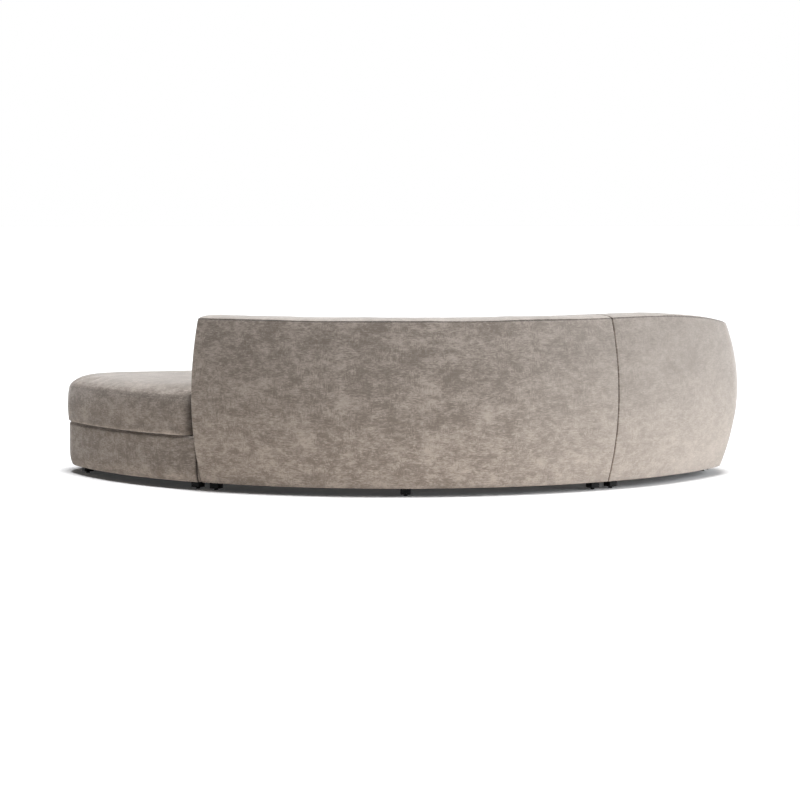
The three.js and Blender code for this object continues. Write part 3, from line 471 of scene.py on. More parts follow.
# Points along each side and corner of a plan
SIDE_COUNTS = {
    "outer": 220,
    "outer_end": 40,
    "end": 110,
    "inner_end": 40,
    "inner": 150,
    "small": 9,
    "start": 110,
}


def straight(start, stop, count):
    """Points between two others, without either."""
    share_along = np.linspace(0, 1, count + 2)[1:-1, None]
    return start + (stop - start) * share_along


def outline(plan, face_inset, joint_inset, s):
    """The plan's outline drawn in: faces by one inset and joint sides by another, with its corners rounded.
    Each corner is an arc tangent to both of its sides, and every inset gives the same number of points."""
    outer, inner = plan["outer"] - face_inset, plan["inner"] + face_inset
    start, end = plan["start"], plan["end"]
    start_shift = plan["start_shift"] + joint_inset
    end_shift = plan["end_shift"] + (face_inset if plan["end_is_face"] else joint_inset)

    least = s.panel_corner - s.base_edge
    small = max(plan["joint_corner"] - joint_inset, least)
    rear_small = max(plan["rear_joint_corner"] - joint_inset, least)
    outer_end = max(plan["outer_corner"] - face_inset, least) if plan["outer_corner"] else small
    inner_end = max(plan["inner_corner"] - face_inset, least) if plan["inner_corner"] else small
    outer_start_turn = start + offset_angle(start_shift + rear_small, outer - rear_small)
    outer_end_turn = end - offset_angle(end_shift + outer_end, outer - outer_end)
    inner_end_turn = end - offset_angle(end_shift + inner_end, inner + inner_end)
    inner_start_turn = start + offset_angle(start_shift + small, inner + small)

    def arc(radius, first, last, count):
        """Points on an arc round the common centre, without its ends."""
        return polar(radius, np.linspace(first, last, count)[1:-1])

    def corner(middle_radius, turn, size, first, last, count):
        """Points on a small arc about a middle given by its radius and angle."""
        return polar(middle_radius, turn) + polar(size, np.linspace(first, last, count))

    quarter, half, n = math.pi / 2, math.pi, SIDE_COUNTS
    outer_arc = arc(outer, outer_start_turn, outer_end_turn, n["outer"])
    inner_arc = arc(inner, inner_end_turn, inner_start_turn, n["inner"])
    at_outer_end = corner(
        outer - outer_end, outer_end_turn, outer_end,
        outer_end_turn, end + quarter, n["outer_end"],
    )
    at_inner_end = corner(
        inner + inner_end, inner_end_turn, inner_end,
        end + quarter, inner_end_turn + half, n["inner_end"],
    )
    at_inner_start = corner(
        inner + small, inner_start_turn, small,
        inner_start_turn + half, start + half + quarter, n["small"],
    )
    at_outer_start = corner(
        outer - rear_small, outer_start_turn, rear_small,
        start - quarter, outer_start_turn, n["small"],
    )
    end_side = straight(at_outer_end[-1], at_inner_end[0], n["end"])
    start_side = straight(at_inner_start[-1], at_outer_start[0], n["start"])
    return np.concatenate([
        outer_arc, at_outer_end, end_side, at_inner_end,
        inner_arc, at_inner_start, start_side, at_outer_start,
    ])


def crevice_distances(mesh, points, mirror, plan, s):
    """Distances to the line under the cushion and to the joint planes, r |sin(a - joint)|, whichever is the
    nearest. A face that lies along a crevice counts as far from it, because only its edge is in the shade.
    Beside the open end's rear face, where it meets the back, the shade reaches further."""
    facing_along = 0.75
    fade = 0.06
    reach_above, reach_below = 10, 2.2
    normals = vectors_of(mesh, "normal") * flip(mirror)
    radius = np.linalg.norm(points[:, :2], axis=1)
    turn = np.arctan2(points[:, 0], points[:, 1])
    level_face = np.abs(normals[:, 2]) >= facing_along
    nearest = np.where(level_face, FAR, np.abs(points[:, 2] - s.seat_line))
    joints = [(plan["start"], plan["start_shift"])]
    if not plan["end_is_face"]:
        joints.append((plan["end"], plan["end_shift"]))
    for joint, shift in joints:
        beside = np.abs(radius * np.abs(np.sin(turn - joint)) - shift)
        across = np.abs(normals[:, :2] @ polar(1.0, joint + math.pi / 2))
        if plan["open_tip"]:
            # Painted shade beside the back reaches further
            beside_back = np.clip((radius - plan["outer"]) / fade + 2, 0, 1)
            reach = np.where(points[:, 2] > s.seat_line, reach_above, reach_below)
            beside = beside / (1 + (reach - 1) * beside_back)
        nearest = np.minimum(nearest, np.where(across < facing_along, beside, FAR))
    return nearest


def free_faces(plan):
    """For each point of an outline, 1 where the face shows and 0 where another piece stands close by."""
    rear = 1.0 if plan["open_tip"] else 0.0
    n = SIDE_COUNTS
    sides = (
        (n["outer"] - 2, rear),
        (n["outer_end"], rear),
        (n["end"], rear),
        (n["inner_end"], rear),
        (n["inner"] - 2, 1.0),
        (n["small"], 0.0),
        (n["start"], 0.0),
        (n["small"], 0.0),
    )
    sharp = np.concatenate([np.full(count, weight) for count, weight in sides])
    reach = 9
    wrapped = np.concatenate([sharp[-reach:], sharp, sharp[:reach]])
    smooth = np.convolve(wrapped, np.ones(2 * reach + 1) / (2 * reach + 1), mode="valid")
    return np.minimum(smooth, sharp)


# Padded bands round the bases


def band_section(s, foot_setback):
    """The band's section as rows of (face inset, joint inset, height), from the inner wall's foot round the
    outside to the inner wall's top: quarter turns at both edges, and the foot drawn in as (1 - share) ^ 4."""
    edge, top_edge, bottom, top = s.base_edge, s.base_top_edge, s.fabric_bottom, s.seat_line - s.fit_gap
    half_height = (top - bottom) / 2
    turn = np.linspace(0, math.pi / 2, 7)
    lower_share = edge / half_height
    foot = foot_setback * (1 - lower_share) ** 4
    lower = np.stack([
        foot + edge * (1 - np.sin(turn)),
        edge * (1 - np.sin(turn)),
        bottom + edge * (1 - np.cos(turn)),
    ], axis=-1)
    rise = np.linspace(lower_share, 1, 12)[1:]
    drawn = np.stack([foot_setback * (1 - rise) ** 4, 0 * rise, bottom + half_height * rise], axis=-1)
    level = np.linspace(bottom + half_height, top - top_edge, 9)[1:-1]
    upright = np.stack([0 * level, 0 * level, level], axis=-1)
    upper = np.stack([
        top_edge * (1 - np.cos(turn)),
        top_edge * (1 - np.cos(turn)),
        top - top_edge * (1 - np.sin(turn)),
    ], axis=-1)
    wall = s.base_thickness
    between = np.linspace(wall, edge, 4)[:-1]
    under = np.stack([between + foot * (between < wall), between, np.full(3, bottom)], axis=-1)
    over = np.linspace(top_edge, wall, 4)[1:]
    over = np.stack([over, over, np.full(3, top)], axis=-1)
    return np.concatenate([under, lower, drawn, upright, upper, over])


def make_band(module, plan, s, material):
    """A band is its section carried round the outline. Its lower part rises over each connector, and its
    showing faces have soft waves and small puckers under the top edge."""
    section = band_section(s, s.open_foot_setback if plan["open_tip"] else s.base_foot_setback)
    plan_points = np.stack([outline(plan, face, joint, s) for face, joint, _ in section])
    heights = np.broadcast_to(section[:, 2, None], plan_points.shape[:2]).copy()

    near_joint = s.base_thickness * 1.2
    radius = np.linalg.norm(plan_points, axis=-1)
    turn = np.arctan2(plan_points[..., 0], plan_points[..., 1])
    beside_joint = np.abs(radius * np.sin(turn - plan["start"])) < near_joint
    if not plan["end_is_face"]:
        beside_joint = beside_joint | (np.abs(radius * np.sin(turn - plan["end"])) < near_joint)
    for middle in (s.connector_front, s.connector_rear):
        over = beside_joint & (np.abs(radius - middle) < s.notch_width / 2)
        heights = np.where(over, np.maximum(heights, s.notch_top), heights)

    grid = np.concatenate([plan_points, heights[..., None]], axis=-1)
    outside = normals_of(grid, wrap_rows=True, wrap_columns=True)
    steps = np.diff(plan_points, axis=1, prepend=plan_points[:, -1:])
    loop = np.cumsum(np.linalg.norm(steps, axis=-1), axis=1)
    from_top = heights - (s.seat_line - s.fit_gap)
    fade, steepest, seed = 0.03, 0.6, 11
    showing = free_faces(plan)[None, :] * np.clip(-from_top / fade, 0, 1)
    showing = showing * np.clip((heights - s.fabric_bottom) / fade, 0, 1)
    showing = showing * (np.abs(outside[..., 2]) < steepest)
    swell = s.wave / 2 * soft_waves(loop, heights, seed) + s.pucker * puckers(loop, from_top + s.base_edge)
    away = outside if enclosed_volume(*grid_solid(grid)) > 0 else -outside
    grid = grid + away * (showing * swell)[..., None]

    mirror = module == "arm_end"
    points, faces = grid_solid(grid)
    piece = make_piece(f"{module}_base_band", in_frame(points, s, mirror), faces, material)
    far = np.full(len(points), FAR)
    from_crevice = crevice_distances(piece.data, points, mirror, plan, s)
    keep_seam_distances(piece.data, np.stack([far, from_crevice, far], axis=-1))
    return piece


def grid_solid(grid):
    """Points and faces of a grid that closes on itself both ways."""
    rows, columns = grid.shape[:2]
    quads = grid_quads(rows, columns, wrap_rows=True, wrap_columns=True)
    return grid.reshape(-1, 3), quads.tolist()


# Backs


def centre_path(s):
    """Distances along the centre back, and a function from them to its faces: equal angles on two arcs."""
    middle_radius = s.rear_radius - s.back_thickness / 2
    half = (s.joint_angle - offset_angle(s.joint_half_gap, middle_radius)) * s.rear_radius

    def at(distance):
        """Both faces at these distances: points, normals and how far the top has fallen."""
        normal = polar(1.0, distance / s.rear_radius)
        return {
            "outer": normal * s.rear_radius,
            "outer_normal": normal,
            "inner": normal * (s.rear_radius - s.back_thickness),
            "inner_normal": normal,
            "drop": np.zeros_like(distance),
        }

    return -half, half, at


def arm_path(s):
    """Distances along the arm end's back, and a function from them to its faces: an arc round the common
    centre, a tighter corner, then a straight arm. The top falls as half a cosine wave."""
    back_face = s.rear_radius - s.back_thickness
    start = s.joint_angle + offset_angle(s.joint_half_gap, s.rear_radius - s.back_thickness / 2)
    outer_middle_radius = s.rear_radius - s.arm_outer_corner
    inner_middle_radius = back_face - s.arm_inner_corner
    outer_turn = s.arm_end_angle - offset_angle(s.arm_outer_corner, outer_middle_radius)
    inner_turn = s.arm_end_angle - offset_angle(s.arm_thickness + s.arm_inner_corner, inner_middle_radius)
    outer_middle = polar(outer_middle_radius, outer_turn)
    inner_middle = polar(inner_middle_radius, inner_turn)
    last_normal = s.arm_end_angle + math.pi / 2
    along = polar(1.0, s.arm_end_angle)
    nose = s.front_radius + s.arm_nose_setback

    arc = (outer_turn - start) * s.rear_radius
    corner = (last_normal - outer_turn) * s.arm_outer_corner
    line = outer_middle @ along - nose
    finish = arc + corner + line

    def at(distance):
        """Both faces at these distances: points, normals and how far the top has fallen."""
        before = distance <= arc
        on_arc = np.clip(distance / arc, 0, 1)
        on_corner = np.clip((distance - arc) / corner, 0, 1)
        on_line = np.clip((distance - arc - corner) / line, 0, 1)

        def face(turn, radius, middle, rounding, straight_part):
            """One face: an arc of this radius, a corner about its middle, then a straight part."""
            arc_turn = start + (turn - start) * on_arc
            corner_turn = turn + (last_normal - turn) * on_corner
            normal = polar(1.0, np.where(before, arc_turn, corner_turn))
            points = np.where(before[:, None], normal * radius, middle + normal * rounding)
            return points - along * (on_line * straight_part)[:, None], normal

        inner_line = inner_middle @ along - nose
        outer, outer_normal = face(outer_turn, s.rear_radius, outer_middle, s.arm_outer_corner, line)
        inner, inner_normal = face(inner_turn, back_face, inner_middle, s.arm_inner_corner, inner_line)
        fall = np.clip((distance - s.arm_fall_start) / (finish - s.arm_fall_start), 0, 1)
        return {
            "outer": outer,
            "outer_normal": outer_normal,
            "inner": inner,
            "inner_normal": inner_normal,
            "drop": s.arm_fall * (1 - np.cos(math.pi * fall)) / 2,
        }

    return 0.0, finish, at


def back_distances(start, stop, first_rounding, last_rounding):
    """Distances along a path and their end insets: quarter turns at both ends, fine steps where the end seams
    lie, and even steps between."""
    fine, fine_reach, step = 0.0016, 0.014, 0.0055

    def quarter_turn(rounding):
        """Distances and insets of a rounded end: 1 - cosine and 1 - sine of its turn."""
        turn = np.linspace(0, math.pi / 2, 12)[:-1]
        return rounding * (1 - np.cos(turn)), rounding * (1 - np.sin(turn))

    first, first_inset = quarter_turn(first_rounding)
    last, last_inset = quarter_turn(last_rounding)
    near_first = np.arange(first_rounding, first_rounding + fine_reach, fine)
    near_last = np.arange(last_rounding, last_rounding + fine_reach, fine)
    count = int((stop - start - near_first[-1] - near_last[-1]) / step)
    between = np.linspace(start + near_first[-1], stop - near_last[-1], count)[1:-1]
    distances = np.concatenate(
        [start + first, start + near_first, between, (stop - near_last)[::-1], (stop - last)[::-1]]
    )
    plain = len(distances) - len(first) - len(last)
    insets = np.concatenate([first_inset, np.zeros(plain), last_inset[::-1]])
    return distances, insets


def lining_foot(s):
    """Height of the lining's lower edge: the frame's underside, less the lining's share of the slant."""
    slant = (s.frame_bottom - s.fabric_bottom) * s.lining / s.back_thickness
    return s.frame_bottom - slant


def back_section(s):
    """The back's outer section as rows of (share across, rear setback, sitter's setback, fixed height,
    share of the top's height). The rear is two parabolas that meet at its widest, the top is crowned as
    1 - |2w - 1| cubed, and the sitter's side leans back as its height share squared."""
    low_count, high_count, top_count, front_count, under_count = 26, 30, 40, 34, 8
    crowding, crown_power = 1.7, 3
    bottom, edge = s.fabric_bottom, s.back_edge
    fall = s.bulge_height - bottom
    low_share = 1 - edge / fall
    foot = s.foot_setback * low_share**2
    turn = np.linspace(0, math.pi / 2, 6)
    under = np.linspace(s.hollow_setback, foot + edge, 3)[:-1]
    q_low = np.linspace(low_share, 0, low_count)[1:]
    q_high = clustered(0, 1, high_count)[1:]
    w = (1 - np.cos(np.linspace(0, math.pi, top_count))) / 2
    q_front = (1 - np.linspace(0, 1, front_count) ** crowding)[1:]
    q_under = np.linspace(0, 1, under_count)[1:]
    rise = s.back_crown * (1 - np.abs(2 * w - 1) ** crown_power)

    def rows(across, rear, front, fixed, of_top):
        """Rows of these five columns, each of which may be one number."""
        columns = np.broadcast_arrays(*np.atleast_1d(across, rear, front, fixed, of_top))
        return np.stack(columns, axis=-1).astype(float)

    return np.concatenate([
        rows(0.0, under, 0.0, bottom, 0.0),
        rows(0.0, foot + edge * (1 - np.sin(turn)), 0.0, bottom + edge * (1 - np.cos(turn)), 0.0),
        rows(0.0, s.foot_setback * q_low**2, 0.0, s.bulge_height - fall * q_low, 0.0),
        rows(0.0, s.seam_setback * q_high**2, 0.0, s.bulge_height * (1 - q_high), q_high),
        rows(w[1:], s.seam_setback, s.back_lean, rise[1:], 1.0),
        rows(1.0, 0.0, s.back_lean * q_front**2, s.seat_line * (1 - q_front), q_front),
        rows(1.0, 0.0, 0.0, s.seat_line + (s.frame_bottom - s.seat_line) * q_under, 0.0),
        rows(1.0, 0.0, s.lining, lining_foot(s), 0.0),
    ])


def across_back(faces, rear, front, across):
    """Plan points across a back: rear in from the rear face at share 0, front out from the sitter's at 1."""
    outer = faces["outer"][:, None] - faces["outer_normal"][:, None] * rear[..., None]
    inner = faces["inner"][:, None] + faces["inner_normal"][:, None] * front[..., None]
    return outer + (inner - outer) * across[..., None]


def hollow_grid(faces, s):
    """The hollow's four corners at each station: both walls' feet, and the roof between their tops."""
    count = len(faces["drop"])
    rear = (s.hollow_setback, s.hollow_setback, 0.0, 0.0)
    front = (0.0, 0.0, s.lining + s.hollow_lean, s.lining)
    across = (0.0, 0.0, 1.0, 1.0)
    plan = across_back(faces, *(np.broadcast_to(corners, (count, 4)) for corners in (rear, front, across)))
    roof = s.back_seam_height - faces["drop"] - s.top_padding
    feet = np.full(count, s.fabric_bottom), np.full(count, lining_foot(s))
    heights = np.stack([feet[0], roof, roof, feet[1]], axis=-1)
    return np.concatenate([plan, heights[..., None]], axis=-1)


def end_cap(ring, direction, crown, count=9):
    """Rings from an end's edge in to its middle: each point moves in by equal shares, and out along the end's
    direction by the crown times 1 - (1 - share) squared."""
    middle = ring.mean(axis=0)
    rings = []
    for x in np.linspace(0, 1, count)[1:-1]:
        rings.append(middle + (ring - middle) * (1 - x) + direction * (crown * (1 - (1 - x) ** 2)))
    return np.concatenate(rings), middle + direction * crown


def back_swell(grid, table, distances, ends, seed, s):
    """How far each point of a back moves out, and its distances from the rear and the front seam: soft waves
    that calm down at the ends and the foot, less the seams' draw, plus small folds beside the seams."""
    end_seam_share, front_shift = 0.15, 0.4
    calm_start, calm_fade = 0.004, 0.05
    foot_start, foot_fade = 0.01, 0.06
    hidden_above_seat = 0.02

    def from_column(column):
        """Distances along the section from one of its points."""
        return along_section - along_section[:, column : column + 1]

    across, fixed, of_top = table[:, 0], table[:, 3], table[:, 4]
    steps = np.diff(grid, axis=1, prepend=grid[:, :1])
    along_section = np.cumsum(np.linalg.norm(steps, axis=-1), axis=1)
    from_rear_seam = from_column(int(np.argmax(across > 0)) - 1)
    from_front_seam = from_column(int(np.argmax(across >= 1)))
    from_first, from_last = distances - ends[0], ends[1] - distances
    from_end_seam = np.where(np.abs(from_first) < np.abs(from_last), from_first, from_last)
    from_end_seam = np.broadcast_to(from_end_seam[:, None], along_section.shape)

    u, heights = distances[:, None], grid[..., 2]
    drawn = seam_draw(from_rear_seam) + seam_draw(from_front_seam) + end_seam_share * seam_draw(from_end_seam)
    folds = puckers(u, from_rear_seam) + puckers(u + front_shift, from_front_seam)
    folds = folds + puckers(along_section, from_end_seam)
    calm_end = np.clip((np.abs(from_end_seam) - calm_start) / calm_fade, 0, 1)
    calm_foot = np.clip((heights - s.fabric_bottom - foot_start) / foot_fade, 0, 1)
    hidden = (across >= 1) & (heights < s.seat_line + hidden_above_seat)
    above_foot = fixed / s.bulge_height + of_top > 0
    swell = s.wave * soft_waves(u, from_rear_seam, seed) * calm_end - s.seam_depth * drawn
    swell = (swell + s.pucker * folds) * calm_foot * np.where(hidden, 0.0, 1.0) * above_foot
    return swell, from_rear_seam, from_front_seam


def make_back(module, path, last_rounding, hollow_end, s, material):
    """A back is its section carried along its path, drawn in at both ends, closed by crowned end panels, and
    hollow from below. Seams, puckers and soft waves move its surface along its normals."""
    end_seam_inset = 0.003
    start, stop, at = path
    distances, insets = back_distances(start, stop, s.back_end_rounding, last_rounding)
    faces_at = at(distances)
    table = back_section(s)
    shape = len(distances), len(table)
    across, rear, front, fixed, of_top = (np.broadcast_to(column, shape) for column in table.T)
    inset = insets[:, None]
    plan = across_back(faces_at, rear + inset, front + inset, across)
    heights = fixed + of_top * (s.back_seam_height - faces_at["drop"][:, None] - inset)
    grid = np.concatenate([plan, heights[..., None]], axis=-1)

    outward = normals_of(grid)
    station, below_seam = len(distances) // 2, int(np.argmax(table[:, 0] > 0)) - 6
    if outward[station, below_seam] @ np.append(faces_at["outer_normal"][station], 0) < 0:
        outward = -outward
    end_seams = start + s.back_end_rounding + end_seam_inset, stop - last_rounding - end_seam_inset
    swell, from_rear_seam, from_front_seam = back_swell(grid, table, distances, end_seams, len(module), s)
    grid = grid + outward * swell[..., None]

    first_hollow = int(np.argmax(distances >= start + s.end_panel))
    last_hollow = len(distances) - 1 - int(np.argmax(distances[::-1] <= stop - hollow_end))
    hollow_rows = slice(first_hollow, last_hollow + 1)
    hollow = hollow_grid({key: value[hollow_rows] for key, value in faces_at.items()}, s)
    for side in (0, -1):
        hollow[:, side] = grid[hollow_rows, side]
    ends = end_directions(at, start, stop)
    crowns = (s.end_crown, s.end_crown if hollow_end == s.end_panel else s.nose_crown)
    points, faces = join_back(grid, hollow, (first_hollow, last_hollow), ends, crowns)
    piece = make_piece(f"{module}_back_cover", in_frame(points, s, module == "arm_end"), faces, material)
    kept = np.full((len(points), 3), FAR)
    kept[: grid.shape[0] * grid.shape[1], 0] = from_rear_seam.ravel()
    kept[: grid.shape[0] * grid.shape[1], 1] = from_front_seam.ravel()
    keep_seam_distances(piece.data, kept)
    return piece


def end_directions(at, start, stop):
    """Unit vectors out of a path's two ends: its direction there, turned away from the path."""
    step = 0.001
    vectors = []
    for place, sign in ((start, -1), (stop - step, 1)):
        faces = at(np.array([place, place + step]))
        middle = faces["outer"] + faces["inner"]
        along = middle[1] - middle[0]
        vectors.append(np.append(along / np.linalg.norm(along) * sign, 0.0))
    return vectors


def join_back(grid, hollow, hollow_rows, ends, crowns):
    """Joins a back's outer grid, its hollow and its end panels into one closed surface. The hollow's outer
    columns are the grid's own lower edges, and beyond the hollow those edges are joined to each other."""
    rows, columns = grid.shape[:2]
    first, last = hollow_rows
    inside = hollow[:, 1:-1]
    count = rows * columns
    number = np.empty(hollow.shape[:2], int)
    number[:, 1:-1] = count + np.arange(inside.shape[0] * inside.shape[1]).reshape(inside.shape[:2])
    number[:, 0] = np.arange(first, last + 1) * columns
    number[:, -1] = np.arange(first, last + 1) * columns + columns - 1
    points = [grid.reshape(-1, 3), inside.reshape(-1, 3)]
    count += inside.shape[0] * inside.shape[1]
    corners = [number[:-1, :-1], number[1:, :-1], number[1:, 1:], number[:-1, 1:]]
    walls = np.stack(corners, axis=-1).reshape(-1, 4)

    row = np.concatenate([np.arange(0, first), np.arange(last, rows - 1)])
    lower, upper = row * columns, row * columns + columns - 1
    under = np.stack([lower, lower + columns, upper + columns, upper], axis=-1)
    faces = grid_quads(rows, columns).tolist() + walls.tolist() + under.tolist()
    faces += [number[0].tolist(), number[-1][::-1].tolist()]

    for edge_row, direction, crown in zip((0, rows - 1), ends, crowns):
        rings, middle = end_cap(grid[edge_row], direction, crown)
        levels = len(rings) // columns
        new = count + np.arange(levels * columns).reshape(levels, columns)
        stack = np.vstack([edge_row * columns + np.arange(columns), new])
        after = np.roll(stack, -1, axis=1)
        panel = np.stack([stack[:-1], stack[1:], after[1:], after[:-1]], axis=-1).reshape(-1, 4)
        pole = np.full(columns, count + levels * columns)
        fan = np.stack([stack[-1], pole, after[-1]], axis=-1)
        if edge_row == 0:
            panel, fan = panel[:, ::-1], fan[:, ::-1]
        faces += panel.tolist() + fan.tolist()
        points += [rings, middle[None]]
        count += levels * columns + 1
    return np.concatenate(points), faces


# Loose cushions


# The tucked edge under a cushion before it swells: (further in at faces, in at joints, above the seat line)
TUCKED_EDGE = ((0.012, 0.012, 0.0005), (0.006, 0.006, 0.0025), (0.002, 0.003, 0.007))

# Width of a cushion's even quads before they are subdivided, in metres
CUSHION_QUAD = 0.0102


def cushion_start(plan, s):
    """Rings of the cushion before it swells, as rows of (face inset, joint inset, height): boxing that
    bulges as a parabola between its seams, an upright edge, a quarter ellipse, and a top that rises to a
    low crown as a sine."""
    seam = s.seat_line + s.cushion_boxing
    low = s.seat_line + s.cushion_lower_edge
    upright, rounding = seam + s.cushion_upright, s.cushion_top_rounding - s.cushion_bulge
    rise = s.cushion_edge_rise - s.cushion_upright
    half_bulge = s.cushion_bulge / 2
    joint_inset, crown_share = 0.001, 0.4
    rings = [(s.cushion_bulge + face, joint, s.seat_line + above) for face, joint, above in TUCKED_EDGE]
    for x in np.linspace(0, 1, 8):
        bulged = s.cushion_bulge - half_bulge * 4 * x * (1 - x)
        rings.append((bulged, joint_inset, low + (seam - low) * x))
    for turn in np.radians([0, 18, 36, 54, 72, 90]):
        reach = 1 - math.cos(turn)
        rings.append((
            s.cushion_bulge - joint_inset + rounding * reach,
            s.cushion_joint_rounding * reach,
            upright + rise * math.sin(turn) - s.cushion_crown / 2,
        ))
    for x in np.linspace(0, 1, 6)[1:]:
        rings.append((
            s.cushion_top_rounding + s.cushion_crown_reach * x,
            s.cushion_joint_rounding + s.cushion_crown_reach * x,
            seam + s.cushion_edge_rise + s.cushion_crown * (crown_share * math.sin(x * math.pi / 2) - 0.5),
        ))
    loops = []
    for face, joint, height in rings:
        loop = outline(plan, face, joint, s)
        loops.append(np.column_stack([loop, np.full(len(loop), height)]))
    return loops


def voxel_copy(points, faces, size, name):
    """The start shape as even quads about one voxel wide."""
    mesh = bpy.data.meshes.new(name)
    mesh.from_pydata(points, [], faces)
    rough = bpy.data.objects.new(name, mesh)
    bpy.context.scene.collection.objects.link(rough)
    remesh = rough.modifiers.new("Even", "REMESH")
    remesh.mode = "VOXEL"
    remesh.voxel_size = size
    remesh.adaptivity = 0
    graph = bpy.context.evaluated_depsgraph_get()
    even = bpy.data.meshes.new_from_object(rough.evaluated_get(graph))
    bpy.data.objects.remove(rough)
    bpy.data.meshes.remove(mesh)
    even.name = name
    return even


def add_cloth(piece, pinned):
    """Cloth under pressure without gravity, held where it is sewn and where it lies on the deck."""
    group = piece.vertex_groups.new(name="held")
    group.add(np.flatnonzero(pinned).tolist(), 1.0, "REPLACE")
    cloth = piece.modifiers.new("Cloth", "CLOTH")
    fabric = cloth.settings
    fabric.quality = 4
    fabric.mass = 0.3
    fabric.tension_stiffness = 12
    fabric.compression_stiffness = 12
    fabric.shear_stiffness = 4
    fabric.bending_stiffness = 0.4
    fabric.use_pressure = True
    fabric.uniform_pressure_force = 4
    fabric.effector_weights.gravity = 0
    fabric.vertex_group_mass = "held"
    fabric.shrink_min = -0.004
    cloth.collision_settings.use_collision = False
    cloth.point_cache.frame_end = FRAMES_OF_SIMULATION


def keep_clear(points, plan, s):
    """Moves points back inside the cushion's room: above the deck, inside the rear face and the joints."""
    room, tip_room = 0.0006, 0.012
    flat = points[:, :2]
    radius = np.linalg.norm(flat, axis=1)
    reach = plan["outer"] + (tip_room if plan["open_tip"] else 0.0)
    flat = flat * (np.minimum(radius, reach) / radius)[:, None]

    def push(flat, direction, least):
        """Moves points along a direction until they stand the least distance along it."""
        normal = polar(1.0, direction)
        beside = flat @ normal
        return flat + np.maximum(least - beside, 0)[:, None] * normal

    flat = push(flat, plan["start"] + math.pi / 2, plan["start_shift"] + room)
    if not plan["open_tip"]:
        flat = push(flat, plan["end"] - math.pi / 2, plan["end_shift"] + room)
    return np.column_stack([flat, np.maximum(points[:, 2], s.seat_line)])


def swell_cushions(starts, s):
    """Steps the cloth of all cushions together and returns where each point goes. A movement d becomes
    d / sqrt(1 + (d / cap) squared), with a small cap on the boxing and a larger one on the top."""
    top_cap, boxing_cap = 0.012, 0.009
    scene = bpy.context.scene
    for step in range(1, FRAMES_OF_SIMULATION + 1):
        scene.frame_set(step)
    graph = bpy.context.evaluated_depsgraph_get()
    moved = {}
    for module, piece in starts.items():
        rest = points_of(piece.data)
        movement = points_of(piece.evaluated_get(graph).data) - rest
        size = np.linalg.norm(movement, axis=1, keepdims=True)
        on_top = rest[:, 2:] > s.seat_line + s.cushion_boxing
        cap = np.where(on_top, top_cap, boxing_cap)
        moved[module] = rest + movement / np.sqrt(1 + (size / cap) ** 2)
        piece.modifiers.clear()
        piece.vertex_groups.clear()
    scene.frame_set(1)
    return moved


def finish_cushion(piece, points, plan, s, mirror):
    """Brings the top to its height, keeps the cushion clear, subdivides it once and keeps its seam distances.
    Its sides swell further as a sine of their height, and seams and folds move them along their normals."""
    seam_share, low_seam_share, fold_share = 0.5, 0.25, 0.5
    least_level, above_boxing = 0.35, 0.02
    local = from_frame(points, s, mirror)
    seam = s.seat_line + s.cushion_boxing
    full = s.cushion_edge_rise + s.cushion_crown
    height = local[:, 2]
    highest = height.max() - seam
    local[:, 2] = np.where(height > seam, seam + (height - seam) * full / highest, height)
    set_points(piece.data, in_frame(keep_clear(local, plan, s), s, mirror))

    subdivision = piece.modifiers.new("Smooth", "SUBSURF")
    subdivision.levels = subdivision.render_levels = 1
    graph = bpy.context.evaluated_depsgraph_get()
    fine = bpy.data.meshes.new_from_object(piece.evaluated_get(graph))
    piece.modifiers.clear()
    piece.data = fine
    fine.polygons.foreach_set("use_smooth", np.full(len(fine.polygons), True))

    local = keep_clear(from_frame(points_of(fine), s, mirror), plan, s)
    height = local[:, 2]
    from_seam, from_low_seam = height - seam, height - (s.seat_line + s.cushion_lower_edge)
    turn = np.arctan2(local[:, 0], local[:, 1])
    side = np.linalg.norm(local[:, :2], axis=1) * turn
    drawn = seam_share * seam_draw(from_seam) + low_seam_share * seam_draw(from_low_seam)
    drawn = s.seam_depth * drawn
    folds = s.pucker * fold_share * puckers(side, from_seam)
    normals = vectors_of(fine, "normal") * flip(mirror)
    level = np.hypot(normals[:, 0], normals[:, 1]) > least_level
    up_the_side = np.clip((height - s.seat_line) / (s.cushion_boxing + above_boxing), 0, 1)
    fuller = s.cushion_swell * np.sin(up_the_side * math.pi)
    local = local + normals * ((fuller + folds - drawn) * level)[:, None]
    local = keep_clear(local, plan, s)
    set_points(fine, in_frame(local, s, mirror))
    far = np.full(len(height), FAR)
    from_crevice = crevice_distances(fine, local, mirror, plan, s)
    keep_seam_distances(fine, np.stack([far, from_crevice, from_seam], axis=-1))


def make_cushions(s, materials):
    """The three loose cushions: start shapes, one shared run of the cloth, then their finish."""
    pinned_share = 0.8
    starts, plans = {}, {}
    for module, plan in base_plans(s).items():
        plans[module] = cushion_plan(plan, s)
        points, faces = lofted(cushion_start(plans[module], s))
        points = in_frame(points, s, module == "arm_end")
        if enclosed_volume(points, faces[:-2]) < 0:
            faces = [face[::-1] for face in faces]
        mesh = voxel_copy(points, faces, CUSHION_QUAD, f"{module}_cushion")
        piece = bpy.data.objects.new(f"{module}_cushion", mesh)
        bpy.context.scene.collection.objects.link(piece)
        mesh.materials.clear()
        mesh.materials.append(materials[module])
        starts[module] = piece
        add_cloth(piece, points_of(mesh)[:, 2] < s.seat_line + s.cushion_lower_edge * pinned_share)
    moved = swell_cushions(starts, s)
    for module, piece in starts.items():
        finish_cushion(piece, moved[module], plans[module], s, module == "arm_end")
    return starts


# Feet


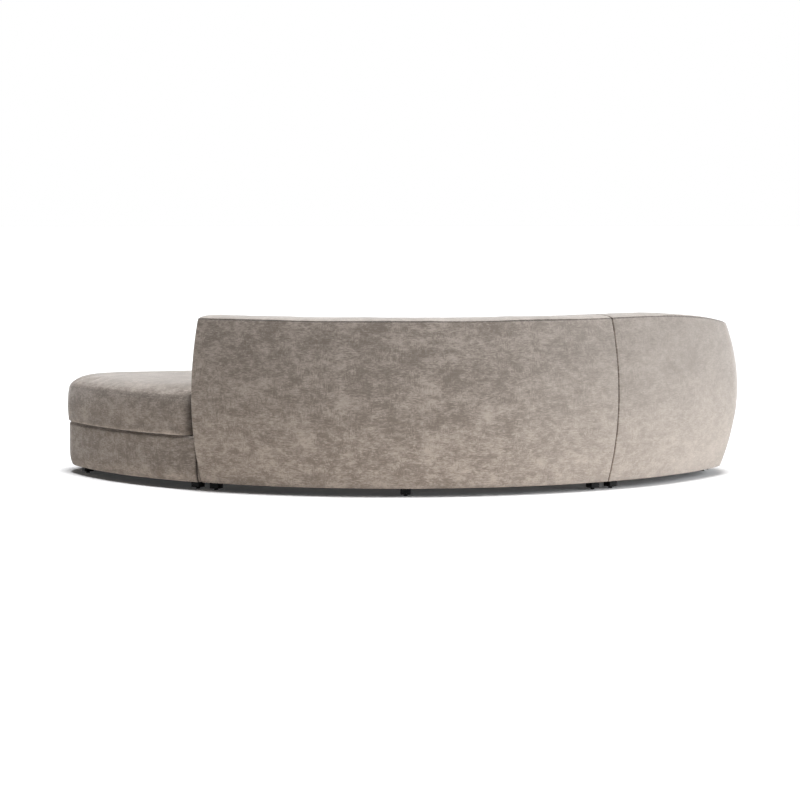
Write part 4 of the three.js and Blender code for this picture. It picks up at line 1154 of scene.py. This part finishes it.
def turned_square(half, corner, count=6):
    """A square outline with rounded corners: a quarter circle about each inner corner."""
    quarter = np.linspace(0, math.pi / 2, count)
    turn = np.concatenate([quarter + k * math.pi / 2 for k in range(4)])
    middle = np.repeat([[1, 1], [-1, 1], [-1, -1], [1, -1]], count, axis=0) * (half - corner)
    return middle + corner * np.stack([np.cos(turn), np.sin(turn)], axis=-1)


def block_turn(node):
    """The angle that a foot's block is turned by, from the direction of its diagonal."""
    corners = points_of(node.data)[:, :2]
    from_middle = corners - (corners.min(axis=0) + corners.max(axis=0)) / 2
    farthest = from_middle[np.argmax(np.linalg.norm(from_middle, axis=1))]
    return math.atan2(farthest[1], farthest[0]) - math.pi / 4


def stacked(outline_of, profile, middle):
    """Points and faces of one outline at several sizes: rows of (size, height) about an upright axis."""
    rings = []
    for size, height in profile:
        loop = outline_of(size) + middle
        rings.append(np.column_stack([loop, np.full(len(loop), height)]))
    return lofted(rings)


def make_foot(name, node, s, material):
    """A foot: a square block with rounded upright edges and small chamfers, and a plate under its top."""
    low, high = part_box(name)
    middle = np.array([(low.x + high.x) / 2, (low.y + high.y) / 2])
    turn = block_turn(node)
    turned = np.array([[math.cos(turn), math.sin(turn)], [-math.sin(turn), math.cos(turn)]])
    size, corner, chamfer = s.foot_size / 2, 0.0035, 0.0015
    softened = chamfer * 0.3
    plate, plate_step, plate_inset = 0.004, 0.0034, 0.0006
    profile = (
        (size - chamfer, low.z),
        (size - softened, low.z + softened),
        (size, low.z + chamfer),
        (size, high.z - plate),
        (size - plate_inset, high.z - plate_step),
        (size - plate_inset, high.z),
    )
    points, faces = stacked(lambda half: turned_square(half, corner) @ turned, profile, middle)
    return make_piece(f"{name}_block", points, faces, material, smooth=False)


# A glide from the floor up: (share of its radius, height in metres), and the share at its top
GLIDE_PROFILE = (
    (0.72, 0.0),
    (0.9, 0.0004),
    (1.0, 0.0014),
    (1.0, 0.0034),
    (0.92, 0.0042),
    (0.62, 0.0046),
)
GLIDE_STEM = 0.6


def make_glide(name, material):
    """A glide: a stem and a rounded pad, its profile turned round an upright axis."""
    low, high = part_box(name)
    middle = np.array([(low.x + high.x) / 2, (low.y + high.y) / 2])
    radius = (high.x - low.x) / 2
    turn = np.linspace(0, 2 * math.pi, 33)[:-1]
    circle = np.stack([np.cos(turn), np.sin(turn)], axis=-1)
    profile = [(radius * share, low.z + rise) for share, rise in GLIDE_PROFILE]
    profile.append((radius * GLIDE_STEM, high.z))
    points, faces = stacked(lambda reach: reach * circle, profile, middle)
    return make_piece(f"{name}_pad", points, faces, material)


# Materials


class Tree:
    """A node tree, with short calls for the nodes that the finishes share."""

    def __init__(self, node_tree):
        """Keeps the tree's nodes and links."""
        self.nodes, self.links = node_tree.nodes, node_tree.links

    def connect(self, target, value):
        """Gives an input another node's output, or a plain value."""
        if isinstance(value, bpy.types.NodeSocket):
            self.links.new(value, target)
        else:
            target.default_value = value

    def node(self, kind, inputs, output, **choices):
        """Adds a node of a kind, makes its choices, fills its inputs and gives back one of its outputs."""
        made = self.nodes.new(f"ShaderNode{kind}")
        for name, choice in choices.items():
            setattr(made, name, choice)
        for name, value in inputs.items():
            self.connect(made.inputs[name], value)
        return made.outputs[output]

    def math(self, operation, first, second=0.0):
        """One sum, product or the like of two values."""
        return self.node("Math", {0: first, 1: second}, 0, operation=operation)

    def total(self, *parts):
        """The sum of values times their weights."""
        products = [self.math("MULTIPLY", value, weight) for value, weight in parts]
        result = products[0]
        for product in products[1:]:
            result = self.math("ADD", result, product)
        return result

    def seen(self):
        """1 for rays from the camera, straight or by a mirror or glass, and 0 for rays that only light."""
        path = self.nodes.new("ShaderNodeLightPath").outputs
        straight_or_mirrored = self.math("MAXIMUM", path["Is Camera Ray"], path["Is Glossy Ray"])
        return self.math("MAXIMUM", straight_or_mirrored, path["Is Transmission Ray"])


class Finish(Tree):
    """A material: one shader and the patterns that feed it."""

    def __init__(self, name, roughness, metallic=0.0):
        """Makes the material with its roughness and metal share, and reads the object's coordinates."""
        self.material = bpy.data.materials.new(name)
        self.material.use_nodes = True
        super().__init__(self.material.node_tree)
        self.shader = self.nodes["Principled BSDF"]
        self.coordinates = self.node("TexCoord", {}, "Object")
        self.set("Roughness", roughness)
        self.set("Metallic", metallic)

    def set(self, name, value):
        """Gives one of the shader's inputs a value."""
        self.connect(self.shader.inputs[name], value)

    def mapped(self, scale=(1, 1, 1), shift=(0, 0, 0)):
        """The object's coordinates times a scale, and moved."""
        inputs = {"Vector": self.coordinates, "Scale": scale, "Location": shift}
        return self.node("Mapping", inputs, "Vector")

    def noise(self, vector, scale, detail=2.0, roughness=0.5, distortion=0.0):
        """Cloudy noise from 0 to 1, with about scale clouds to the metre."""
        inputs = {"Vector": vector, "Scale": scale, "Detail": detail}
        inputs.update({"Roughness": roughness, "Distortion": distortion})
        return self.node("TexNoise", inputs, 0)

    def wave(self, vector, scale, direction, distortion=0.0):
        """Parallel bands across one direction, from 0 to 1."""
        inputs = {"Vector": vector, "Scale": scale, "Distortion": distortion}
        return self.node("TexWave", inputs, 1, bands_direction=direction)

    def facing(self, direction):
        """How far the surface faces a direction: 1 when it faces it fully, 0 when it is square to it."""
        normal = self.node("NewGeometry", {}, "Normal")
        return self.node("VectorMath", {0: normal, 1: direction}, "Value", operation="DOT_PRODUCT")

    def spread(self, value, low, high, to_low=0.0, to_high=1.0):
        """A smooth step from one number to another, as a value runs from low to high."""
        inputs = {"Value": value, "From Min": low, "From Max": high, "To Min": to_low, "To Max": to_high}
        return self.node("MapRange", inputs, "Result", interpolation_type="SMOOTHSTEP")

    def blend(self, factor, first, second):
        """A colour part of the way from the first to the second."""
        return self.node("Mix", {"Factor": factor, "A": first, "B": second}, "Result", data_type="RGBA")

    def two_tone(self, tone, low, high, dark, light):
        """A colour that runs from dark to light as the tone runs from low to high."""
        return self.blend(self.spread(tone, low, high), rgba(dark), rgba(light))

    def bump(self, height, distance, strength, under=None):
        """The normal of a height pattern, on top of another one where it is given."""
        inputs = {"Distance": distance, "Strength": strength, "Height": height}
        if under is not None:
            inputs["Normal"] = under
        return self.node("Bump", inputs, "Normal")

    def done(self, base, normal=None, rough=None):
        """Feeds the shader its colour, normal and roughness, and gives back the material."""
        for name, value in (("Base Color", base), ("Normal", normal), ("Roughness", rough)):
            if value is not None:
                self.set(name, value)
        return self.material


def rgba(value):
    """A colour property with full opacity."""
    return (*value, 1.0)


# How strongly the painted shade shows along the rear seam, along the front seam or crevice, and along the
# cushion's top seam
LINE_STRENGTHS = (0.76, 1.0, 0.15)


def seam_lines(tree, widths):
    """Lines along the three kinds of seams, 1 on a seam and 0 beside it, fainter for the third kind."""
    kept = tree.node("Attribute", {}, "Vector", attribute_type="GEOMETRY", attribute_name="seam_and_crevice_distance")
    parts = tree.nodes.new("ShaderNodeSeparateXYZ")
    tree.connect(parts.inputs[0], kept)
    lines = []
    for distance, width, strongest in zip(parts.outputs, widths, LINE_STRENGTHS):
        beside = tree.math("ABSOLUTE", distance)
        lines.append(tree.spread(beside, width / 4, width, strongest, 0.0))
    return tree.math("MAXIMUM", tree.math("MAXIMUM", lines[0], lines[1]), lines[2])


def velvet(name, shift, colours):
    """Brushed velvet: soft clouds and patches, straight level and upright brush marks that take turns, pale
    flecks and a fine pile. Painted light makes it paler and calmer on top and where it faces the side light,
    and painted shade darkens its faces that tilt upwards, its seams and its crevices."""
    # The direction towards the side light, and straight up
    toward_side_light, upwards = (-0.97, 0.24, 0), (0, 0, 1)
    pale_most, pile_most, top_light_most, tilt_shade_most = 0.05, 0.016, 0.6, 0.38
    middle_tone, lit_calmness, painted_sheen_share, seams_where_lit = 0.51, 0.4, 0.42, 0.6
    darkest_tone, palest_tone = 0.425, 0.602

    tree = Finish(name, roughness=0.85)
    plain = tree.mapped(shift=shift)
    clouds = tree.noise(tree.mapped((1, 1, 1.5), shift), 8, detail=3.0, roughness=0.5, distortion=0.3)
    patches = tree.noise(tree.mapped((1, 1, 1.7), shift), 25, detail=4.0, roughness=0.6, distortion=0.3)
    level = tree.noise(tree.mapped((1, 1, 6), shift), 38, detail=4.0, roughness=0.74)
    upright = tree.noise(tree.mapped((6, 6, 1), shift), 34, detail=4.0, roughness=0.74)
    turns = tree.spread(tree.noise(plain, 14, detail=2.0, roughness=0.5, distortion=0.3), 0.48, 0.6)
    flecks = tree.noise(tree.mapped((1, 1, 2.6), shift), 80, detail=4.0, roughness=0.7)
    pile = tree.noise(plain, 620, detail=2.0, roughness=0.6)

    crossing = tree.math("MULTIPLY", turns, tree.math("SUBTRACT", upright, level))
    brushed = tree.math("ADD", level, crossing)
    tone = tree.total((clouds, 0.2), (patches, 0.25), (brushed, 0.3), (flecks, 0.25))
    pale = tree.spread(flecks, 0.55, 0.68, 0.0, pale_most)
    tone = tree.math("ADD", tone, tree.math("MULTIPLY", pale, tree.spread(patches, 0.46, 0.6)))
    tone = tree.math("ADD", tone, tree.spread(pile, 0.3, 0.7, -pile_most, pile_most))
    # Painted light: smooth is how far a face turns towards the side light or faces straight up; there the
    # patches are calmed towards the middle tone and the colour is blended to the painted sheen
    up = tree.facing(upwards)
    beside = tree.spread(tree.facing(toward_side_light), 0.3, 0.95)
    smooth = tree.math("MAXIMUM", beside, tree.spread(up, 0.72, 1.0, 0.0, top_light_most))
    to_middle = tree.math("SUBTRACT", middle_tone, tone)
    calm = tree.math("MULTIPLY", to_middle, tree.math("MULTIPLY", smooth, lit_calmness))
    tone = tree.math("ADD", tone, calm)

    base = tree.two_tone(tone, darkest_tone, palest_tone, colours.velvet_dark, colours.velvet_light)
    base = tree.blend(tree.math("MULTIPLY", smooth, painted_sheen_share), base, rgba(colours.velvet_painted_sheen))
    # Painted shade: faces that tilt upwards are darkened towards the painted shade colour, more as they tilt
    # further, fading out on level tops
    tilted_up_shade, below_level = tree.spread(up, -0.3, 0.3, 0.0, tilt_shade_most), tree.spread(up, 0.6, 0.97, 1.0, 0.0)
    base = tree.blend(tree.math("MULTIPLY", tilted_up_shade, below_level), base, rgba(colours.velvet_painted_shade))
    # Painted shade along the seams, and along the crevices under the cushions and at the joints
    lines = seam_lines(tree, (0.0072, 0.008, 0.0048))
    # The painted seam and crevice shade is fainter where the painted light falls
    lines = tree.math("MULTIPLY", lines, tree.spread(smooth, 0.0, 1.0, 1.0, seams_where_lit))
    base = tree.blend(lines, base, rgba(colours.velvet_painted_shade))

    napped = tree.bump(tone, distance=0.004, strength=0.4)
    furry = tree.bump(pile, distance=0.0005, strength=0.35, under=napped)
    groove = seam_lines(tree, (0.0052, 0.0052, 0.0052))
    sewn = tree.bump(tree.math("SUBTRACT", 1.0, groove), distance=0.0016, strength=0.9, under=furry)
    tree.set("Sheen Weight", 0.5)
    tree.set("Sheen Roughness", 0.35)
    tree.set("Sheen Tint", (1.0, 0.98, 0.97, 1.0))
    tree.set("Specular IOR Level", 0.2)
    return tree.done(base, sewn)


def plywood(colours):
    """Raw plywood: long grain with darker rings, and a little fuzz."""
    tree = Finish("plywood", roughness=0.72)
    grain = tree.noise(tree.mapped((2, 34, 34)), 5, detail=4, roughness=0.6, distortion=0.6)
    rings = tree.wave(tree.mapped((0.6, 4, 4)), 9, "Y", distortion=5.0)
    tone = tree.total((grain, 0.7), (rings, 0.3))
    base = tree.two_tone(tone, 0.3, 0.7, colours.timber_dark, colours.timber_light)
    fuzz = tree.bump(grain, distance=0.0008, strength=0.5)
    return tree.done(base, fuzz, tree.spread(grain, 0.3, 0.7, 0.6, 0.82))


def ribbed_webbing(colours):
    """Elastic webbing: ribs along and across the bands."""
    tree = Finish("ribbed_webbing", roughness=0.85)
    plain = tree.mapped()
    ribs = tree.wave(plain, 110, "X", distortion=0.4)
    threads = tree.wave(plain, 240, "Y", distortion=0.4)
    tone = tree.math("MULTIPLY", ribs, threads)
    base = tree.two_tone(tone, 0.1, 0.7, colours.webbing_dark, colours.webbing_light)
    return tree.done(base, tree.bump(tone, distance=0.0006, strength=0.7))


def pressed_felt(colours):
    """Pressed felt: tangled fibres in two tones."""
    tree = Finish("pressed_felt", roughness=0.95)
    plain = tree.mapped()
    fibres = tree.noise(plain, 260, detail=5, roughness=0.7, distortion=2.2)
    patches = tree.noise(plain, 11, detail=2)
    tone = tree.total((fibres, 0.7), (patches, 0.3))
    base = tree.two_tone(tone, 0.38, 0.62, colours.felt_dark, colours.felt_light)
    return tree.done(base, tree.bump(fibres, distance=0.0008, strength=0.5))


def dust_cloth(colours):
    """Thin spun cloth: a net of bonded fibres with a grid of press marks."""
    tree = Finish("dust_cloth", roughness=0.9)
    plain = tree.mapped()
    fibres = tree.noise(plain, 420, detail=4, roughness=0.7, distortion=1.5)
    marks = tree.math("MULTIPLY", tree.wave(plain, 190, "X"), tree.wave(plain, 190, "Y"))
    tone = tree.total((fibres, 0.6), (marks, 0.4))
    base = tree.two_tone(tone, 0.3, 0.75, colours.cloth_dark, colours.cloth_light)
    return tree.done(base, tree.bump(tone, distance=0.0003, strength=0.6))


def satin_black(colours, name="satin_black", roughness=0.5):
    """Satin black paint with faint rubbed places and a fine grain."""
    tree = Finish(name, roughness)
    plain = tree.mapped()
    rubbed = tree.noise(plain, 38, detail=5, roughness=0.65)
    grain = tree.noise(plain, 900, detail=2)
    base = tree.two_tone(rubbed, 0.52, 0.72, colours.block_dark, colours.block_light)
    tree.set("Specular IOR Level", 0.15)
    dull = tree.spread(rubbed, 0.3, 0.7, roughness - 0.1, roughness + 0.12)
    return tree.done(base, tree.bump(grain, distance=0.0002, strength=0.4), dull)


def zinc_plate(colours):
    """Zinc plated steel: dull spangles and fine scratches along the plate."""
    tree = Finish("zinc_plate", roughness=0.38, metallic=0.92)
    spangle = tree.noise(tree.mapped(), 120, detail=2, roughness=0.5, distortion=0.6)
    scratches = tree.noise(tree.mapped((6, 90, 6)), 14, detail=3, roughness=0.7)
    tone = tree.total((spangle, 0.6), (scratches, 0.4))
    base = tree.two_tone(tone, 0.36, 0.64, colours.steel_dark, colours.steel_light)
    scratched = tree.bump(scratches, distance=0.0001, strength=0.4)
    return tree.done(base, scratched, tree.spread(tone, 0.3, 0.7, 0.28, 0.5))


def floor_white(colours, glow):
    """Plain floor: white to the camera, and darker to other rays, so that it lights the sofa only softly."""
    tree = Finish("floor_white", roughness=0.9)
    tree.set("Specular IOR Level", 0.0)
    tree.set("Emission Color", (1, 1, 1, 1))
    tree.set("Emission Strength", glow)
    return tree.done(tree.blend(tree.seen(), rgba(colours.floor_bounce), rgba(colours.floor)))


def white_world(strength_on_sofa):
    """World light: the given strength on the sofa, and plain white behind it."""
    world = bpy.data.worlds.new("white_surroundings")
    bpy.context.scene.world = world
    world.use_nodes = True
    tree = Tree(world.node_tree)
    background = tree.nodes["Background"].inputs
    tree.connect(background["Color"], (1, 1, 1, 1))
    inputs = {"Value": tree.seen(), "To Min": strength_on_sofa, "To Max": 1.0}
    tree.connect(background["Strength"], tree.node("MapRange", inputs, "Result"))


def wide_light(name, towards, width, energy, tint):
    """A distant light that shines along a direction and looks as wide as the given angle."""
    light = bpy.data.lights.new(name, "SUN")
    light.energy, light.angle, light.color = energy, width, tint
    lamp = bpy.data.objects.new(name, light)
    lamp.rotation_euler = Vector(towards).to_track_quat("-Z", "Y").to_euler()
    lamp.location = LAMP_PLACE
    bpy.context.scene.collection.objects.link(lamp)


# Operators


class SOFA_OT_bands(bpy.types.Operator):
    """Makes the padded bands round the three bases"""

    bl_idname = "curved_sofa.bands"
    bl_label = "Base bands"

    def execute(self, context):
        s, colours, _ = settings()
        for number, (module, plan) in enumerate(base_plans(s).items()):
            finish = velvet(f"velvet_{module}_base", (0.7 * number, 0.3, 0.1), colours)
            piece = make_band(module, plan, s, finish)
            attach(piece, f"{module}_module")
            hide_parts(f"{module}_base_pad")
        return {"FINISHED"}


class SOFA_OT_backs(bpy.types.Operator):
    """Makes the centre back and the back that wraps into the arm"""

    bl_idname = "curved_sofa.backs"
    bl_label = "Backs and arm"

    def execute(self, context):
        s, colours, _ = settings()
        rows = (
            ("centre", centre_path(s), s.back_end_rounding, s.end_panel, (0.0, 0.0, 0.0)),
            ("arm_end", arm_path(s), s.arm_nose_rounding, s.nose_padding, (1.9, 0.2, 0.4)),
        )
        for module, path, rounding, hollow_end, shift in rows:
            finish = velvet(f"velvet_{module}_back", shift, colours)
            piece = make_back(module, path, rounding, hollow_end, s, finish)
            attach(piece, f"{module}_module")
            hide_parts(f"{module}_back_pad")
        return {"FINISHED"}


class SOFA_OT_cushions(bpy.types.Operator):
    """Makes the three loose seat cushions as swollen cloth"""

    bl_idname = "curved_sofa.cushions"
    bl_label = "Seat cushions"

    def execute(self, context):
        s, colours, _ = settings()
        finishes = {
            module: velvet(f"velvet_{module}_cushion", (0.45 * number + 3, 0.9, 0.6), colours)
            for number, module in enumerate(MODULES)
        }
        for module, piece in make_cushions(s, finishes).items():
            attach(piece, f"{module}_cushion")
            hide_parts(f"{module}_seat_cushion")
        return {"FINISHED"}


class SOFA_OT_feet(bpy.types.Operator):
    """Makes the feet with their glides"""

    bl_idname = "curved_sofa.feet"
    bl_label = "Feet and glides"

    def execute(self, context):
        s, colours, _ = settings()
        painted = satin_black(colours)
        moulded = satin_black(colours, "moulded_nylon", 0.42)
        for name, node in frame["nodes"].items():
            if name.endswith("_foot"):
                piece = make_foot(name, node, s, painted)
            elif name.endswith("_glide"):
                piece = make_glide(name, moulded)
            else:
                continue
            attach(piece, node["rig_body"])
            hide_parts(name)
        return {"FINISHED"}


class SOFA_OT_hidden_parts(bpy.types.Operator):
    """Finishes the frames, webbing, decks, dust covers and connectors"""

    bl_idname = "curved_sofa.hidden_parts"
    bl_label = "Frames, decks and connectors"

    def execute(self, context):
        _, colours, _ = settings()
        finishes = {
            "_frame": plywood(colours),
            "_webbing": ribbed_webbing(colours),
            "_deck": pressed_felt(colours),
            "_dust_cover": dust_cloth(colours),
            "connector": zinc_plate(colours),
        }
        for name, node in frame["nodes"].items():
            for ending, finish in finishes.items():
                if name.endswith(ending) or (ending == "connector" and ending in name):
                    node.data.materials.clear()
                    node.data.materials.append(finish)
        return {"FINISHED"}


class SOFA_OT_stage(bpy.types.Operator):
    """Makes the floor, the lights and the camera"""

    bl_idname = "curved_sofa.stage"
    bl_label = "Floor, lights and camera"

    def execute(self, context):
        s, colours, stage = settings()
        scene = context.scene
        scene.view_settings.view_transform = "Standard"
        white_world(stage.world)

        half = FLOOR_HALF
        corners = [(-half, -half, 0), (half, -half, 0), (half, half, 0), (-half, half, 0)]
        floor = bpy.data.meshes.new("floor")
        floor.from_pydata(corners, [], [[0, 1, 2, 3]])
        floor.materials.append(floor_white(colours, stage.floor_glow))
        floor_object = bpy.data.objects.new("floor", floor)
        scene.collection.objects.link(floor_object)

        from_above = (math.tan(stage.overhead_lean), -math.tan(stage.overhead_tilt), -1.0)
        wide_light("overhead", from_above, stage.overhead_width, stage.overhead, stage.overhead_colour)
        level = math.cos(stage.side_height)
        across, back = math.cos(stage.side_turn), math.sin(stage.side_turn)
        from_side = (level * across, -level * back, -math.sin(stage.side_height))
        wide_light("side", from_side, stage.side_width, stage.side, stage.side_colour)

        sideways, rearwards = math.sin(stage.turn), math.cos(stage.turn)
        place = Vector((stage.distance * sideways, stage.distance * rearwards, stage.height))
        level = math.cos(stage.pitch)
        looking = Vector((-sideways * level, -rearwards * level, -math.sin(stage.pitch)))
        camera = bpy.data.cameras.new("camera")
        camera.lens = stage.lens
        camera.sensor_width = SENSOR_WIDTH
        camera.clip_end = FARTHEST_SEEN
        camera_object = bpy.data.objects.new("camera", camera)
        camera_object.location = Vector(common_centre(s)) + place
        camera_object.rotation_euler = looking.to_track_quat("-Z", "Y").to_euler()
        scene.collection.objects.link(camera_object)
        scene.camera = camera_object
        return {"FINISHED"}


class SOFA_PT_panel(bpy.types.Panel):
    """Lists the sofa's steps in the order in which they run"""

    bl_idname = "SOFA_PT_panel"
    bl_label = "Curved Sofa"
    bl_space_type = "VIEW_3D"
    bl_region_type = "UI"
    bl_category = "Curved Sofa"

    def draw(self, context):
        column = self.layout.column()
        for operator in OPERATORS:
            column.operator(operator.bl_idname)
        for group in settings():
            box = self.layout.box().column()
            for name in group.__annotations__:
                box.prop(group, name)


OPERATORS = (
    SOFA_OT_stage,
    SOFA_OT_bands,
    SOFA_OT_backs,
    SOFA_OT_cushions,
    SOFA_OT_feet,
    SOFA_OT_hidden_parts,
)
GROUPS = (SofaSizes, SofaColours, StageSettings)


def register():
    """Registers the classes and puts the three groups on the scene."""
    for made in (*GROUPS, *OPERATORS, SOFA_PT_panel):
        bpy.utils.register_class(made)
    bpy.types.Scene.curved_sofa_sizes = bpy.props.PointerProperty(type=SofaSizes)
    bpy.types.Scene.curved_sofa_colours = bpy.props.PointerProperty(type=SofaColours)
    bpy.types.Scene.curved_sofa_stage = bpy.props.PointerProperty(type=StageSettings)


def unregister():
    """Takes away what register put there."""
    del bpy.types.Scene.curved_sofa_stage
    del bpy.types.Scene.curved_sofa_colours
    del bpy.types.Scene.curved_sofa_sizes
    for made in reversed((*GROUPS, *OPERATORS, SOFA_PT_panel)):
        bpy.utils.unregister_class(made)


def main():
    """Makes the whole sofa on its stage."""
    register()
    bpy.ops.curved_sofa.stage()
    bpy.ops.curved_sofa.bands()
    bpy.ops.curved_sofa.backs()
    bpy.ops.curved_sofa.cushions()
    bpy.ops.curved_sofa.feet()
    bpy.ops.curved_sofa.hidden_parts()


if __name__ == "__main__":
    main()
